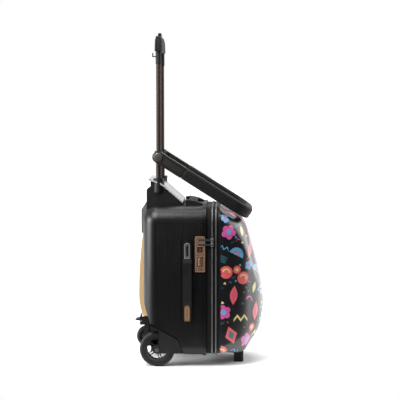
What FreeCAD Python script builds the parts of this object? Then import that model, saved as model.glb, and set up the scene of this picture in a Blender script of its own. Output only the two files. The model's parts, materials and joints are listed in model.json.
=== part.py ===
import FreeCAD, Part
import math
import os
from types import SimpleNamespace

import Sketcher
from FreeCAD import Placement, Rotation, Vector

# Ride on suitcase. Front is +X, the side with the lock is -Y, up is +Z, the floor is Z = 0.

doc = FreeCAD.newDocument("ride_on_suitcase")
sheet = doc.addObject("Spreadsheet::Sheet", "Sizes")

SIZES = [
    # case
    ("case_half_width", 130, "middle to a side face of the case"),
    ("case_bottom", 35, "floor to the underside of the case"),
    ("case_top", 478, "floor to the top of the case"),
    ("case_rear", 163, "origin back to the rear face"),
    ("edge_round", 50, "rounding of the two upper long edges"),
    ("lower_round", 24, "rounding of the two lower long edges"),
    ("rear_round", 44, "rounding of the rear face's edge"),
    ("shell_wall", 3, "wall of both shells"),
    ("shell_front", 24, "origin forward to the rear shell's mouth"),
    ("lip_width", 9, "raised lip round the mouth"),
    ("lip_proud", 2.5, "lip above the shell"),
    # cut in the rear lower edge that takes the wheels
    ("arch_top", 191, "height where the rear face slants in"),
    ("arch_rear", 141, "origin back to the foot of the slant"),
    ("arch_rear_top", 130, "height of the foot of the slant"),
    ("arch_knee", 55, "origin back to the arch's knee"),
    ("arch_knee_top", 84, "height of the arch's knee"),
    ("arch_front", 41, "origin back to the front of the arch"),
    ("arch_round", 25, "rounding of the arch's knee"),
    # zip band
    ("tape_inset", 3, "zip tape below the shell"),
    ("tape_thick", 6, "zip tape"),
    ("tape_front", 58, "origin forward to the end of the tape"),
    ("chain_width", 5, "zip chain"),
    ("chain_proud", 2.2, "zip chain above the tape"),
    ("chain_main", 42, "origin forward to the main chain"),
    ("chain_expander", 53, "origin forward to the second chain"),
    ("rim_inset", 4, "front rim below the shell"),
    ("rim_width", 6, "front rim"),
    # front shell: stations from its mouth to its nose
    ("nose", 195, "origin forward to the nose"),
    ("nose_height", 182, "height of the nose"),
    ("nose_flat", 15, "half size of the nose's flat"),
    ("slope_one", 102, "first station forward of the origin"),
    ("slope_one_top", 450, "top of the first station"),
    ("slope_one_inset", 9, "first station's side inside the case side"),
    ("brow", 135, "second station"),
    ("brow_top", 425, "top of the second station"),
    ("brow_inset", 24, "second station's side inside the case side"),
    ("brow_bottom", 34, "underside of the second station"),
    ("chest", 157, "third station"),
    ("chest_top", 366, "top of the third station"),
    ("chest_bottom", 59, "underside of the third station"),
    ("chest_inset", 43, "third station's side inside the case side"),
    ("belly", 176, "fourth station"),
    ("belly_top", 298, "top of the fourth station"),
    ("belly_bottom", 86, "underside of the fourth station"),
    ("belly_inset", 65, "fourth station's side inside the case side"),
    ("tip", 189.5, "fifth station"),
    ("tip_top", 234, "top of the fifth station"),
    ("tip_bottom", 127, "underside of the fifth station"),
    ("tip_inset", 95, "fifth station's side inside the case side"),
    # telescopic handle
    ("handle_back", 118, "origin back to the tubes' plane"),
    ("tube_apart", 68, "middle to a tube"),
    ("outer_tube", 8.4, "outer tube's radius"),
    ("inner_tube", 7.3, "inner tube's radius"),
    ("tube_wall", 0.9, "wall of both tubes"),
    ("slide_gap", 0.2, "between sliding tubes"),
    ("outer_foot", 136, "height of the outer tubes' feet"),
    ("outer_head", 631, "height of the outer tubes' heads"),
    ("inner_foot", 420, "height of the inner tubes' feet"),
    ("plug_height", 26, "nylon plug in an inner tube's foot"),
    ("collar_radius", 16.5, "collar where a tube leaves the base"),
    ("collar_foot", 515, "height of the collar's seat"),
    ("collar_head", 556, "height of the collar's top"),
    # grip
    ("grip_bottom", 930.5, "height of the grip's underside"),
    ("grip_height", 44.5, "grip"),
    ("grip_half_depth", 11, "grip's underside, fore and aft"),
    ("grip_shoulder", 32, "grip's shoulder above its underside"),
    ("grip_shoulder_half_depth", 9.8, "grip's shoulder, fore and aft"),
    ("grip_top_half_depth", 6.5, "grip's top, fore and aft"),
    ("grip_edge", 3, "rounding of the grip"),
    ("grip_half_length", 82, "grip, side to side"),
    ("socket_radius", 8.6, "socket under the grip"),
    ("socket_height", 36.5, "socket under the grip"),
    ("button_half_depth", 5.5, "push button, fore and aft"),
    ("button_half_length", 22, "push button, side to side"),
    ("button_proud", 13, "push button above the grip"),
    ("button_sunk", 9, "push button inside the grip"),
    ("button_gap", 0.4, "round the push button"),
    ("hook_above", 20, "bag hook above its socket's lower end"),
    ("hook_reach", 9.5, "bag hook behind its socket"),
    ("hook_thick", 2.6, "bag hook"),
    ("hook_width", 12, "bag hook, side to side"),
    ("hook_rise", 9, "upturned end of a bag hook"),
    # safety bar
    ("pivot_height", 620.5, "floor to the bar's pivot"),
    ("bar_slope", 32.2, "degrees that the bar slopes down to the front"),
    ("bar_reach", 322.7, "pivot to the front of the bar"),
    ("bar_half_apart", 95, "middle to the centre of an arm"),
    ("bar_half_width", 13, "padding across the U"),
    ("bar_height", 36, "padding square to the U"),
    ("bar_bend", 58, "outer bend of the U"),
    ("bar_edge", 9, "rounding of the padding"),
    ("pad_start", 88, "pivot to the end of the padding"),
    ("core_half_width", 6, "core across the U"),
    ("core_height", 16, "core square to the U"),
    ("core_start", 34, "pivot to the end of the core"),
    ("arm_half_width", 12, "moulded arm across the U"),
    ("arm_height", 34, "moulded arm"),
    ("knuckle_radius", 16.5, "pivot knuckle of arm and bracket"),
    ("pin_radius", 4, "pivot pin"),
    ("pin_gap", 0.05, "running fit of a pin"),
    ("side_gap", 0.6, "between bracket and arm"),
    ("bracket_radius", 12, "bracket's ring round the tube"),
    ("bracket_height", 34, "bracket's ring"),
    # handle base and seat plate
    ("base_half_width", 78, "base, side to side"),
    ("base_rear", 154, "origin back to the base's rear face"),
    ("base_step", 530, "height of the base's rear step"),
    ("base_neck", 142, "origin back to the base's neck"),
    ("base_round", 11.5, "rounding of the base's rear step"),
    ("base_wall", 6, "wall of the base's hollow front part"),
    ("base_hollow", 98, "origin back to the base's hollow"),
    ("plate_half_width", 84, "seat plate, side to side"),
    ("plate_thick", 5, "seat plate, measured upright"),
    ("plate_tip", 148, "origin back to the plate's rear tip"),
    ("plate_tip_top", 556, "height of the plate's rear tip"),
    ("plate_knee", 110, "origin back to the plate's knee"),
    ("plate_knee_top", 543, "height of the plate's knee"),
    ("plate_front", 46, "origin back to the plate's front edge"),
    ("plate_front_top", 488, "height of the plate's front edge"),
    ("frame_thick", 6.5, "back frame behind the rear face"),
    ("frame_below", 6, "back frame's lower edge below the arm hinge"),
    ("frame_top", 64, "back frame's rear edge above the arm hinge"),
    ("frame_crest", 24, "back frame's rise to the base"),
    # support arm, fork, wheel and pedal
    ("arm_hinge_back", 3.9, "arm hinge behind the rear face"),
    ("arm_hinge_height", 400, "height of the arm hinge"),
    ("barrel_radius", 3.2, "hinge barrel"),
    ("hinge_pin", 1.6, "hinge pin"),
    ("strip_half_width", 30, "gold arm, side to side"),
    ("strip_thick", 4, "gold arm"),
    ("strip_bulge_height", 199, "height where the gold arm stands out most"),
    ("strip_bulge", 19, "outer face of the bulge behind the rear face"),
    ("strip_foot", 169, "origin back to the gold arm's foot"),
    ("strip_foot_height", 134, "height of the gold arm's foot"),
    ("flange_thick", 4, "side flange of the gold arm"),
    ("flange_gap", 1.5, "between a flange and the rear face"),
    ("flange_foot", 152, "origin back to a flange's foot"),
    ("lug_width", 12, "knuckle beside the hinge barrel"),
    ("fork_top", 139, "height of the fork's top"),
    ("fork_bottom", 105, "height of the fork's bridge"),
    ("fork_front", 147, "origin back to the fork's front"),
    ("fork_rear", 170, "origin back to the fork's rear"),
    ("cheek_half_width", 7, "fork cheek, fore and aft"),
    ("cheek_thick", 5, "fork cheek"),
    ("small_wheel_back", 160, "origin back to the small wheel's axle"),
    ("small_wheel_height", 68, "height of the small wheel's axle"),
    ("small_wheel_radius", 32, "small wheel"),
    ("small_wheel_width", 26, "small wheel"),
    ("small_hub_radius", 21, "hub of the small wheel"),
    ("small_axle", 4, "axle of the small wheel"),
    ("pedal_tip", 195, "origin back to the pedal's tip"),
    ("pedal_half_width", 17, "pedal, side to side"),
    ("pedal_thick", 4.5, "pedal"),
    ("pedal_pivot_back", 177, "origin back to the pedal's pivot"),
    ("pedal_pivot_height", 117, "height of the pedal's pivot"),
    ("pedal_pin", 2, "pedal pin"),
    ("tongue_top", 136, "height of the pedal's upright tongue"),
    # main wheels
    ("wheel_back", 121, "origin back to the axle"),
    ("wheel_radius", 52, "main wheel"),
    ("wheel_middle", 111, "middle to the centre of a wheel"),
    ("wheel_width", 22, "tyre"),
    ("tyre_inner", 37.5, "tyre's seat on the rim"),
    ("tread_half", 6, "flat of the tread"),
    ("tread_drop", 5, "shoulder below the tread"),
    ("rim_inner", 30, "inside of the rim's ring"),
    ("rim_hub", 14, "hub of the rim"),
    ("spoke_half_gap", 2.2, "middle of a spoke pair to a spoke"),
    ("spoke_thick", 2.6, "spoke"),
    ("spoke_depth", 9, "spoke along the axle"),
    ("spoke_count", 5, "spoke pairs"),
    ("bearing_radius", 11, "bearing's outer radius"),
    ("bearing_width", 7, "bearing"),
    ("axle_radius", 4, "axle bolt"),
    ("axle_head", 6.5, "axle bolt's head"),
    ("axle_head_height", 4, "axle bolt's head"),
    ("well_gap", 4.5, "between tyre and housing"),
    ("well_side_gap", 1.5, "between wheel and housing walls"),
    ("housing_wall", 5, "inner wall of a wheel housing"),
    ("housing_bottom", 41, "height of a housing's lower edge"),
    ("housing_edge", 116, "origin back to the outer wall's edge"),
    ("groove_width", 2.5, "groove between a housing and the shell"),
    ("groove_depth", 4, "groove between a housing and the shell"),
    ("boss_radius", 11, "boss round the axle"),
    # top handle
    ("top_handle_at", 17, "origin back to the top handle"),
    ("top_grip_half_length", 74, "top handle, side to side"),
    ("top_grip_half_width", 13, "top grip, fore and aft"),
    ("top_grip_thick", 6, "top grip"),
    ("top_grip_rise", 14.5, "top of the dome above the case"),
    ("top_leg", 9, "leg of the top grip"),
    ("top_leg_depth", 26, "leg of the top grip inside the case"),
    ("top_cap_rear", 44, "origin back to the caps"),
    ("top_cap_front", 14.5, "origin forward to the caps"),
    ("dome_peak", 33, "origin back to the dome's highest line"),
    ("dome_radius", 95, "bow of the caps and the grip"),
    ("top_cap_length", 30, "top cap, side to side"),
    ("leg_gap", 0.5, "round a leg in its cap"),
    # side handle
    ("side_handle_at", 31, "origin back to the side handle"),
    ("side_handle_foot", 134, "height of its lower end"),
    ("side_handle_head", 376, "height of its upper end"),
    ("side_cap_length", 47, "end plate"),
    ("side_cap_half_width", 8.5, "end plate, fore and aft"),
    ("side_cap_proud", 1.6, "end plate off the grip"),
    ("side_cap_margin", 5, "end plate inside the grip's end"),
    ("side_grip_half_width", 13, "side grip, fore and aft"),
    ("side_grip_round", 11, "corners of the side grip"),
    ("side_grip_gap", 0.4, "between the grip and the shell"),
    ("side_grip_thick", 4.4, "side grip"),
    ("side_grip_bow", 3, "middle of the grip off its ends"),
    ("peg_radius", 4, "guide peg of the side grip"),
    ("peg_length", 26, "guide peg of the side grip"),
    # lock
    ("lock_at", 6.5, "origin forward to the lock's middle"),
    ("lock_half_width", 14.5, "lock plate, fore and aft"),
    ("lock_foot", 285, "height of the lock's lower end"),
    ("lock_height", 105, "lock plate"),
    ("lock_proud", 4, "lock plate off the shell"),
    ("lock_round", 4, "corners of the lock plate"),
    ("lock_deep", 16, "lock housing inside the shell"),
    ("lock_margin", 3.5, "plate beyond the housing"),
    ("dial_radius", 9, "lock dial"),
    ("dial_height", 8, "lock dial"),
    ("dial_pitch", 9, "from dial to dial"),
    ("dial_above", 30.5, "middle dial above the lock's lower end"),
    ("dial_proud", 1.2, "dial above the plate"),
    ("dial_axle", 1.5, "axle under the dials"),
    ("dial_gap", 0.5, "round the dials"),
    ("lock_button_above", 8, "lock button above the lock's lower end"),
    ("lock_button_half", 4.5, "lock button"),
    ("lock_button_proud", 2, "lock button above the plate"),
    ("lock_button_sunk", 6, "lock button in the plate"),
    ("keyhole_above", 66, "keyhole above the lock's lower end"),
    ("keyhole_radius", 3.6, "keyhole"),
    ("keyhole_depth", 2.5, "keyhole"),
    # zip sliders and pulls
    ("pull_below", 11, "upper pull below the lock's upper end"),
    ("pull_pitch", 14, "from pull to pull"),
    ("slider_half_height", 5, "slider along the chain"),
    ("slider_half_width", 4.5, "slider across the chain"),
    ("slider_thick", 3, "slider above the chain"),
    ("pull_half_height", 2.6, "pull tab"),
    ("pull_thick", 2, "pull tab"),
    ("pull_tip", 2, "origin forward to a docked pull's tip"),
    ("pull_pin", 1.2, "pin of a pull"),
    ("pull_eye", 2.3, "eye of a pull round its pin"),
    ("dock_gap", 0.5, "round a docked pull"),
    # feet
    ("foot_rear", 106, "origin forward to the front foot"),
    ("foot_front", 135, "origin forward to the front foot's front"),
    ("foot_half_width", 50, "front foot, side to side"),
    ("foot_round", 9, "rounding of the front foot"),
    ("stud_radius", 10, "side foot"),
    ("stud_proud", 8, "side foot off the shell"),
    ("stud_forward", 0, "origin forward to the front side feet"),
    ("stud_back", 100, "origin back to the rear side feet"),
    ("stud_foot", 190, "height of the lower side feet"),
    ("stud_head", 400, "height of the upper side feet"),
]


class Size:
    """A number that keeps the sheet formula it comes from."""

    def __init__(self, value, formula):
        self.value = float(value)
        self.formula = formula

    def __add__(self, other):
        other = as_size(other)
        return Size(self.value + other.value, f"({self.formula} + {other.formula})")

    def __sub__(self, other):
        other = as_size(other)
        return Size(self.value - other.value, f"({self.formula} - {other.formula})")

    def __mul__(self, other):
        other = as_size(other)
        return Size(self.value * other.value, f"({self.formula} * {other.formula})")

    def __truediv__(self, other):
        other = as_size(other)
        return Size(self.value / other.value, f"({self.formula} / {other.formula})")

    def __neg__(self):
        return Size(-self.value, f"(0 - {self.formula})")

    def __radd__(self, other):
        return as_size(other) + self

    def __rsub__(self, other):
        return as_size(other) - self

    __rmul__ = __mul__


def as_size(number):
    return number if isinstance(number, Size) else Size(number, str(float(number)))


def fill_sheet():
    """Write every size to the sheet under its alias and return the sizes by name."""
    sizes = {}
    for row, (alias, value, meaning) in enumerate(SIZES, start=1):
        sheet.set(f"A{row}", meaning)
        sheet.set(f"B{row}", str(value))
        sheet.setAlias(f"B{row}", alias)
        sizes[alias] = Size(value, f"Sizes.{alias}")
    doc.recompute()
    return SimpleNamespace(**sizes)


S = fill_sheet()


def bind(thing, path, size):
    thing.setExpression(path, as_size(size).formula)


def place(thing, x, y, z):
    for axis, size in zip("xyz", (x, y, z)):
        bind(thing, f"Placement.Base.{axis}", size)
    return thing


# Sketch outlines: each draws one closed loop whose sizes are bound to the sheet.


def pin_point(sketch, geometry, end, x, y):
    """Fix a point of the sketch at x, y from the sketch's origin."""
    for kind, size in (("DistanceX", x), ("DistanceY", y)):
        size = as_size(size)
        index = sketch.addConstraint(Sketcher.Constraint(kind, -1, 1, geometry, end, size.value))
        bind(sketch, f"Constraints[{index}]", size)


def polygon(*corners):
    def draw(sketch):
        spots = [Vector(as_size(x).value, as_size(y).value, 0) for x, y in corners]
        count = len(spots)
        first = sketch.GeometryCount
        for number, spot in enumerate(spots):
            sketch.addGeometry(Part.LineSegment(spot, spots[(number + 1) % count]), False)
        for number, (x, y) in enumerate(corners):
            after = first + (number + 1) % count
            sketch.addConstraint(Sketcher.Constraint("Coincident", first + number, 2, after, 1))
            pin_point(sketch, first + number, 1, x, y)
    return draw


def circle(x, y, radius):
    def draw(sketch):
        centre = Vector(as_size(x).value, as_size(y).value, 0)
        number = sketch.addGeometry(Part.Circle(centre, Vector(0, 0, 1), as_size(radius).value), False)
        pin_point(sketch, number, 3, x, y)
        index = sketch.addConstraint(Sketcher.Constraint("Radius", number, as_size(radius).value))
        bind(sketch, f"Constraints[{index}]", radius)
    return draw


def rounded(left, right, bottom, top, radius, lower=None):
    """A rectangle with rounded corners; the two lower ones can have a radius of their own."""
    lower = radius if lower is None else lower

    def draw(sketch):
        l, r, b, t, k, m = (as_size(size).value for size in (left, right, bottom, top, radius, lower))
        first = sketch.GeometryCount
        corners = [(r - m, b + m, m, -90), (r - k, t - k, k, 0), (l + k, t - k, k, 90), (l + m, b + m, m,
                                                                                         180)]
        arcs = []
        for x, y, reach, start in corners:
            ring = Part.Circle(Vector(x, y, 0), Vector(0, 0, 1), reach)
            arcs.append(Part.ArcOfCircle(ring, math.radians(start), math.radians(start + 90)))
        for number, arc in enumerate(arcs):
            sketch.addGeometry(arc, False)
            sketch.addGeometry(Part.LineSegment(arc.EndPoint, arcs[(number + 1) % 4].StartPoint), False)
        for number in range(4):
            arc = first + 2 * number
            following = first + (2 * number + 2) % 8
            sketch.addConstraint(Sketcher.Constraint("Tangent", arc, 2, arc + 1, 1))
            sketch.addConstraint(Sketcher.Constraint("Tangent", arc + 1, 2, following, 1))
            sketch.addConstraint(Sketcher.Constraint("Vertical" if number % 2 == 0 else "Horizontal",
                                                     arc + 1))
        for one, other, size in ((0, 6, lower), (2, 4, radius)):
            sketch.addConstraint(Sketcher.Constraint("Equal", first + one, first + other))
            index = sketch.addConstraint(Sketcher.Constraint("Radius", first + one, as_size(size).value))
            bind(sketch, f"Constraints[{index}]", size)
        sides = [(1, "DistanceX", right), (3, "DistanceY", top), (5, "DistanceX", left), (7, "DistanceY",
                                                                                          bottom)]
        for line, kind, size in sides:
            size = as_size(size)
            index = sketch.addConstraint(Sketcher.Constraint(kind, -1, 1, first + line, 1, size.value))
            bind(sketch, f"Constraints[{index}]", size)
    return draw


# Solids. An XZ sketch faces -Y, a YZ sketch faces +X and an XY sketch faces +Z.


def new_body(name):
    return doc.addObject("PartDesign::Body", name)


def new_sketch(body, plane, loops, start=0):
    sketch = body.newObject("Sketcher::SketchObject", f"{body.Name}_sketch")
    origin = next(item for item in body.Origin.OriginFeatures if item.Role == plane)
    sketch.AttachmentSupport = [(origin, "")]
    sketch.MapMode = "FlatFace"
    bind(sketch, "AttachmentOffset.Base.z", start)
    for draw in loops:
        draw(sketch)
    return sketch


def pad(body, plane, loops, start, length):
    feature = body.newObject("PartDesign::Pad", f"{body.Name}_pad")
    feature.Profile = new_sketch(body, plane, loops, start)
    bind(feature, "Length", length)
    return feature


def prism(name, plane, loops, start, length):
    body = new_body(name)
    pad(body, plane, loops, start, length)
    return body


def round_edges(body, radius, chosen):
    """Fillet the body's edges for which chosen(edge) is true."""
    doc.recompute()
    base = body.Tip
    names = [f"Edge{i}" for i, edge in enumerate(base.Shape.Edges, start=1) if chosen(edge)]
    fillet = body.newObject("PartDesign::Fillet", f"{body.Name}_fillet")
    fillet.Base = (base, names)
    bind(fillet, "Radius", radius)
    return body


def along(axis):
    """Picks the straight edges that run along one axis."""
    def chosen(edge):
        spans = (edge.BoundBox.XLength, edge.BoundBox.YLength, edge.BoundBox.ZLength)
        return all((span > 0.01) == (number == "xyz".index(axis)) for number, span in enumerate(spans))
    return chosen


def turned(name, corners):
    """A body of revolution about its own Y axis; corners are radius and distance along the axis."""
    body = new_body(name)
    feature = body.newObject("PartDesign::Revolution", f"{name}_turn")
    sketch = new_sketch(body, "XY_Plane", [polygon(*corners)])
    feature.Profile = sketch
    feature.ReferenceAxis = (sketch, ["V_Axis"])
    feature.Angle = 360
    return body


def box(name, low, high):
    solid = doc.addObject("Part::Box", name)
    for path, a, b in zip(("Length", "Width", "Height"), low, high):
        bind(solid, path, as_size(b) - a)
    return place(solid, *low)


def rod(name, axis, radius, length, x, y, z):
    """A cylinder from x, y, z along the axis."""
    solid = doc.addObject("Part::Cylinder", name)
    turn = {"x": Rotation(Vector(0, 1, 0), 90), "y": Rotation(Vector(1, 0, 0), -90), "z": Rotation()}
    solid.Placement = Placement(Vector(), turn[axis])
    bind(solid, "Radius", radius)
    bind(solid, "Height", length)
    return place(solid, x, y, z)


def fuse(name, *solids):
    result = doc.addObject("Part::MultiFuse", name)
    result.Shapes = list(solids)
    result.Refine = True
    return result


def cut(name, base, *tools):
    result = doc.addObject("Part::Cut", name)
    result.Base = base
    result.Tool = tools[0] if len(tools) == 1 else fuse(f"{name}_tools", *tools)
    result.Refine = True
    return result


def common(name, *solids):
    result = doc.addObject("Part::MultiCommon", name)
    result.Shapes = list(solids)
    return result


def group(name, *solids):
    result = doc.addObject("Part::Compound", name)
    result.Links = list(solids)
    return result


def mirrored(name, source):
    """The same piece on the other side of the middle plane."""
    result = doc.addObject("Part::Mirroring", name)
    result.Source = source
    result.Normal = (0, 1, 0)
    result.Base = (0, 0, 0)
    return result


def ring(name, start, length, inset, thick):
    """A band round the case, inset from the shell's sides."""
    loops = []
    for step in (inset, inset + thick):
        loops.append(rounded(step - S.case_half_width, S.case_half_width - step, S.case_bottom + step,
                             S.case_top - step, S.edge_round - step, S.lower_round - step))
    return prism(name, "YZ_Plane", loops, start, length)


NODES = []


def keep(*pieces):
    NODES.extend(pieces)


# Rear shell: a deep moulded tray, open to the front, with its rear lower edge cut for the wheels.


def tray(name, inset, mouth):
    body = prism(name, "YZ_Plane",
                 [rounded(inset - S.case_half_width, S.case_half_width - inset,
                          S.case_bottom + inset, S.case_top - inset, S.edge_round - inset)],
                 inset - S.case_rear, S.case_rear - inset + mouth)
    rear = (inset - S.case_rear).value + 0.01
    round_edges(body, S.rear_round - inset, lambda edge: edge.BoundBox.XMax < rear)
    skirt = prism(f"{name}_skirt", "YZ_Plane",
                  [rounded(inset - S.case_half_width, S.case_half_width - inset, S.case_bottom + inset,
                           S.case_bottom + 2 * S.edge_round, S.lower_round - inset)],
                  -S.wheel_back, S.wheel_back + mouth)
    return fuse(f"{name}_whole", body, skirt)


def arch(name, wall):
    """The space cut from the case's rear lower edge, made larger all round by a wall."""
    far = S.case_rear + S.case_half_width
    low = S.case_bottom - S.case_half_width
    body = prism(name, "XZ_Plane",
                 [polygon((-far, S.arch_top + wall), (wall - S.case_rear, S.arch_top + wall),
                          (wall - S.arch_rear, S.arch_rear_top + wall),
                          (wall - S.arch_knee, S.arch_knee_top + wall),
                          (wall - S.arch_front, S.case_bottom), (wall - S.arch_front, low), (-far, low))],
                 -2 * S.case_half_width, 4 * S.case_half_width)
    knee = (wall - S.arch_knee).value
    return round_edges(body, S.arch_round, lambda edge: abs(edge.BoundBox.Center.x - knee) < 0.01
                       and edge.BoundBox.YLength > 1 and edge.BoundBox.XLength < 0.01)


outer_arch = arch("outer_arch", as_size(0))
inner_arch = arch("inner_arch", S.shell_wall)
outer_tray = tray("outer_tray", as_size(0), S.shell_front)
inner_tray = tray("inner_tray", S.shell_wall, S.shell_front + S.shell_wall)
lip = ring("lip", S.shell_front - S.lip_width, S.lip_width, -S.lip_proud, S.lip_proud + S.shell_wall)

lock_head = S.lock_foot + S.lock_height
lock_low = S.lock_foot + S.lock_margin
lock_high = lock_head - S.lock_margin
dial_middle = S.lock_foot + S.dial_above
lock_button_at = S.lock_foot + S.lock_button_above
keyhole_at = S.lock_foot + S.keyhole_above
pull_upper = lock_head - S.pull_below
pull_lower = pull_upper - S.pull_pitch
lock_inner = S.lock_half_width - S.lock_margin
lock_hole = box("lock_hole",
                (S.lock_at - lock_inner - S.dial_gap, -S.case_half_width - S.lip_proud - S.lock_proud,
                 lock_low - S.dial_gap),
                (S.lock_at + lock_inner + S.dial_gap, S.lock_deep - S.case_half_width,
                 lock_high + S.dial_gap))

tube_holes = []
for side, sign in (("left", 1), ("right", -1)):
    tube_holes.append(rod(f"tube_hole_{side}", "z", S.outer_tube + S.slide_gap, 4 * S.shell_wall,
                          -S.handle_back, sign * S.tube_apart, S.case_top - 3 * S.shell_wall))

lip_notch = box("lip_notch",
                (S.lock_at - S.lock_half_width - S.dial_gap, -2 * S.case_half_width,
                 S.lock_foot - S.dial_gap),
                (S.lock_at + S.lock_half_width + S.dial_gap, -S.case_half_width, lock_head + S.dial_gap))

top_x = -S.top_handle_at
side_x = -S.side_handle_at
peg_low = S.side_handle_foot + S.side_cap_margin + S.side_cap_length / 2
peg_high = S.side_handle_head - S.side_cap_margin - S.side_cap_length / 2
handle_holes = []
for side, sign in (("left", 1), ("right", -1)):
    leg_middle = sign * (S.top_grip_half_length - S.top_leg / 2)
    handle_holes.append(box(f"leg_slot_{side}",
                            (top_x - S.top_grip_half_width - S.leg_gap,
                             leg_middle - S.top_leg / 2 - S.leg_gap,
                             S.case_top - 2 * S.shell_wall),
                            (top_x + S.top_grip_half_width + S.leg_gap,
                             leg_middle + S.top_leg / 2 + S.leg_gap,
                             S.case_top + S.shell_wall)))
peg_holes = []
for name, height in (("low", peg_low), ("high", peg_high)):
    peg_holes.append(rod(f"peg_hole_{name}", "y", S.peg_radius + S.leg_gap, S.case_half_width, side_x,
                         -S.case_half_width - S.side_grip_gap, height))

hollow = cut("hollow", inner_tray, inner_arch)
rear_shell = cut("rear_shell", cut("arched_tray", fuse("lipped_tray", outer_tray, lip), outer_arch),
                 hollow, lock_hole, lip_notch, *tube_holes, *handle_holes, *peg_holes)
keep(rear_shell)

# Zip band between the shells: woven tape, two chains and the rim of the front shell.

tape = ring("zip_tape", S.shell_front, S.tape_front - S.shell_front, S.tape_inset, S.tape_thick)
chains = []
for name, middle in (("main_chain", S.chain_main), ("second_chain", S.chain_expander)):
    chains.append(ring(name, middle - S.chain_width / 2, S.chain_width,
                       S.tape_inset - S.chain_proud, S.chain_proud))
zip_chains = group("zip_chains", *chains)
front_rim = ring("front_rim", S.tape_front, S.rim_width, S.rim_inset, 2 * S.shell_wall)
keep(tape, zip_chains, front_rim)

# Front shell: a bubble lofted through rounded stations, flat sloped on top and full low down.


def bubble(name, wall):
    half = S.case_half_width
    mouth = S.tape_front + S.rim_width
    bottom = S.case_bottom + S.rim_inset
    stations = [
        (mouth, S.rim_inset, bottom, S.case_top - S.rim_inset, S.edge_round - S.rim_inset,
         S.lower_round - S.rim_inset),
        (S.slope_one, S.slope_one_inset, bottom - S.rim_inset, S.slope_one_top,
         (half - S.slope_one_inset) * 0.52, (half - S.slope_one_inset) * 0.34),
        (S.brow, S.brow_inset, S.brow_bottom, S.brow_top, (half - S.brow_inset) * 0.7,
         (half - S.brow_inset) * 0.6),
        (S.chest, S.chest_inset, S.chest_bottom, S.chest_top, (half - S.chest_inset) * 0.83,
         (half - S.chest_inset) * 0.8),
        (S.belly, S.belly_inset, S.belly_bottom, S.belly_top, (half - S.belly_inset) * 0.9,
         (half - S.belly_inset) * 0.9),
        (S.tip, S.tip_inset, S.tip_bottom, S.tip_top, (half - S.tip_inset) * 0.9,
         (half - S.tip_inset) * 0.9),
        (S.nose, half - S.nose_flat, S.nose_height - S.nose_flat, S.nose_height + S.nose_flat,
         S.nose_flat * 0.9, S.nose_flat * 0.9),
    ]
    body = new_body(name)
    sketches = []
    for number, (x, inset, low, high, radius, lower) in enumerate(stations):
        shift = wall if number else as_size(0)
        sketches.append(new_sketch(body, "YZ_Plane",
                                   [rounded(inset + wall - half, half - inset - wall, low + wall,
                                            high - wall,
                                            radius - wall, lower - wall)], x - shift))
    feature = body.newObject("PartDesign::AdditiveLoft", f"{name}_loft")
    feature.Profile = sketches[0]
    feature.Sections = sketches[1:]
    return body


outer_bubble = bubble("outer_bubble", as_size(0))
inner_bubble = bubble("inner_bubble", S.shell_wall)
front_shell = cut("front_shell", outer_bubble, inner_bubble)
keep(front_shell)

foot_block = prism("foot_block", "XY_Plane",
                   [rounded(S.foot_rear, S.foot_front, -S.foot_half_width, S.foot_half_width,
                            S.foot_round)],
                   0, S.case_bottom + S.edge_round / 2)
front_foot = cut("front_foot", foot_block, outer_bubble)
keep(front_foot)

studs = []
for row, height in (("low", S.stud_foot), ("high", S.stud_head)):
    for column, x in (("front", S.stud_forward), ("rear", -S.stud_back)):
        stud = turned(f"stud_{row}_{column}", [(0, 0), (S.stud_radius, 0), (S.stud_radius,
                                                                            S.stud_proud * 0.4),
                                               (S.stud_radius * 0.6, S.stud_proud), (0, S.stud_proud)])
        studs.append(place(stud, x, S.case_half_width, height))
side_feet = group("side_feet", *studs)
keep(side_feet)

# Telescopic handle: outer tubes fixed in the case, inner tubes that slide in them, and the grip.


def tube(name, radius, low, high, y):
    return prism(name, "XY_Plane", [circle(-S.handle_back, y, radius),
                                    circle(-S.handle_back, y, radius - S.tube_wall)], low, high - low)


grip_top = S.grip_bottom + S.grip_height
for side, sign in (("left", 1), ("right", -1)):
    keep(tube(f"outer_tube_{side}", S.outer_tube, S.outer_foot, S.outer_head, sign * S.tube_apart))
    keep(tube(f"inner_tube_{side}", S.inner_tube, S.inner_foot, S.grip_bottom, sign * S.tube_apart))

plugs, sockets, hooks = [], [], []
for side, sign in (("left", 1), ("right", -1)):
    y = sign * S.tube_apart
    plugs.append(rod(f"plug_{side}", "z", S.inner_tube - S.tube_wall, S.plug_height, -S.handle_back, y,
                     S.inner_foot))
    sockets.append(prism(f"socket_{side}", "XY_Plane",
                         [circle(-S.handle_back, y, S.socket_radius), circle(-S.handle_back, y,
                                                                             S.inner_tube)],
                         S.grip_bottom - S.socket_height, S.socket_height))
    heel = -S.handle_back - S.socket_radius
    shelf = S.grip_bottom - S.socket_height + S.hook_above
    hook = prism(f"hook_{side}", "XZ_Plane",
                 [polygon((heel, shelf), (heel - S.hook_reach, shelf),
                          (heel - S.hook_reach, shelf + S.hook_rise + S.hook_thick),
                          (heel - S.hook_reach + S.hook_thick, shelf + S.hook_rise + S.hook_thick),
                          (heel - S.hook_reach + S.hook_thick, shelf + S.hook_thick),
                          (heel + S.hook_thick, shelf + S.hook_thick), (heel + S.hook_thick, shelf))],
                 -y - S.hook_width / 2, S.hook_width)
    hooks.append(cut(f"bag_hook_{side}", hook,
                     rod(f"hook_seat_{side}", "z", S.socket_radius, S.socket_height, -S.handle_back, y,
                         shelf)))
keep(group("tube_plugs", *plugs), group("tube_sockets", *sockets), group("bag_hooks", *hooks))

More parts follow.
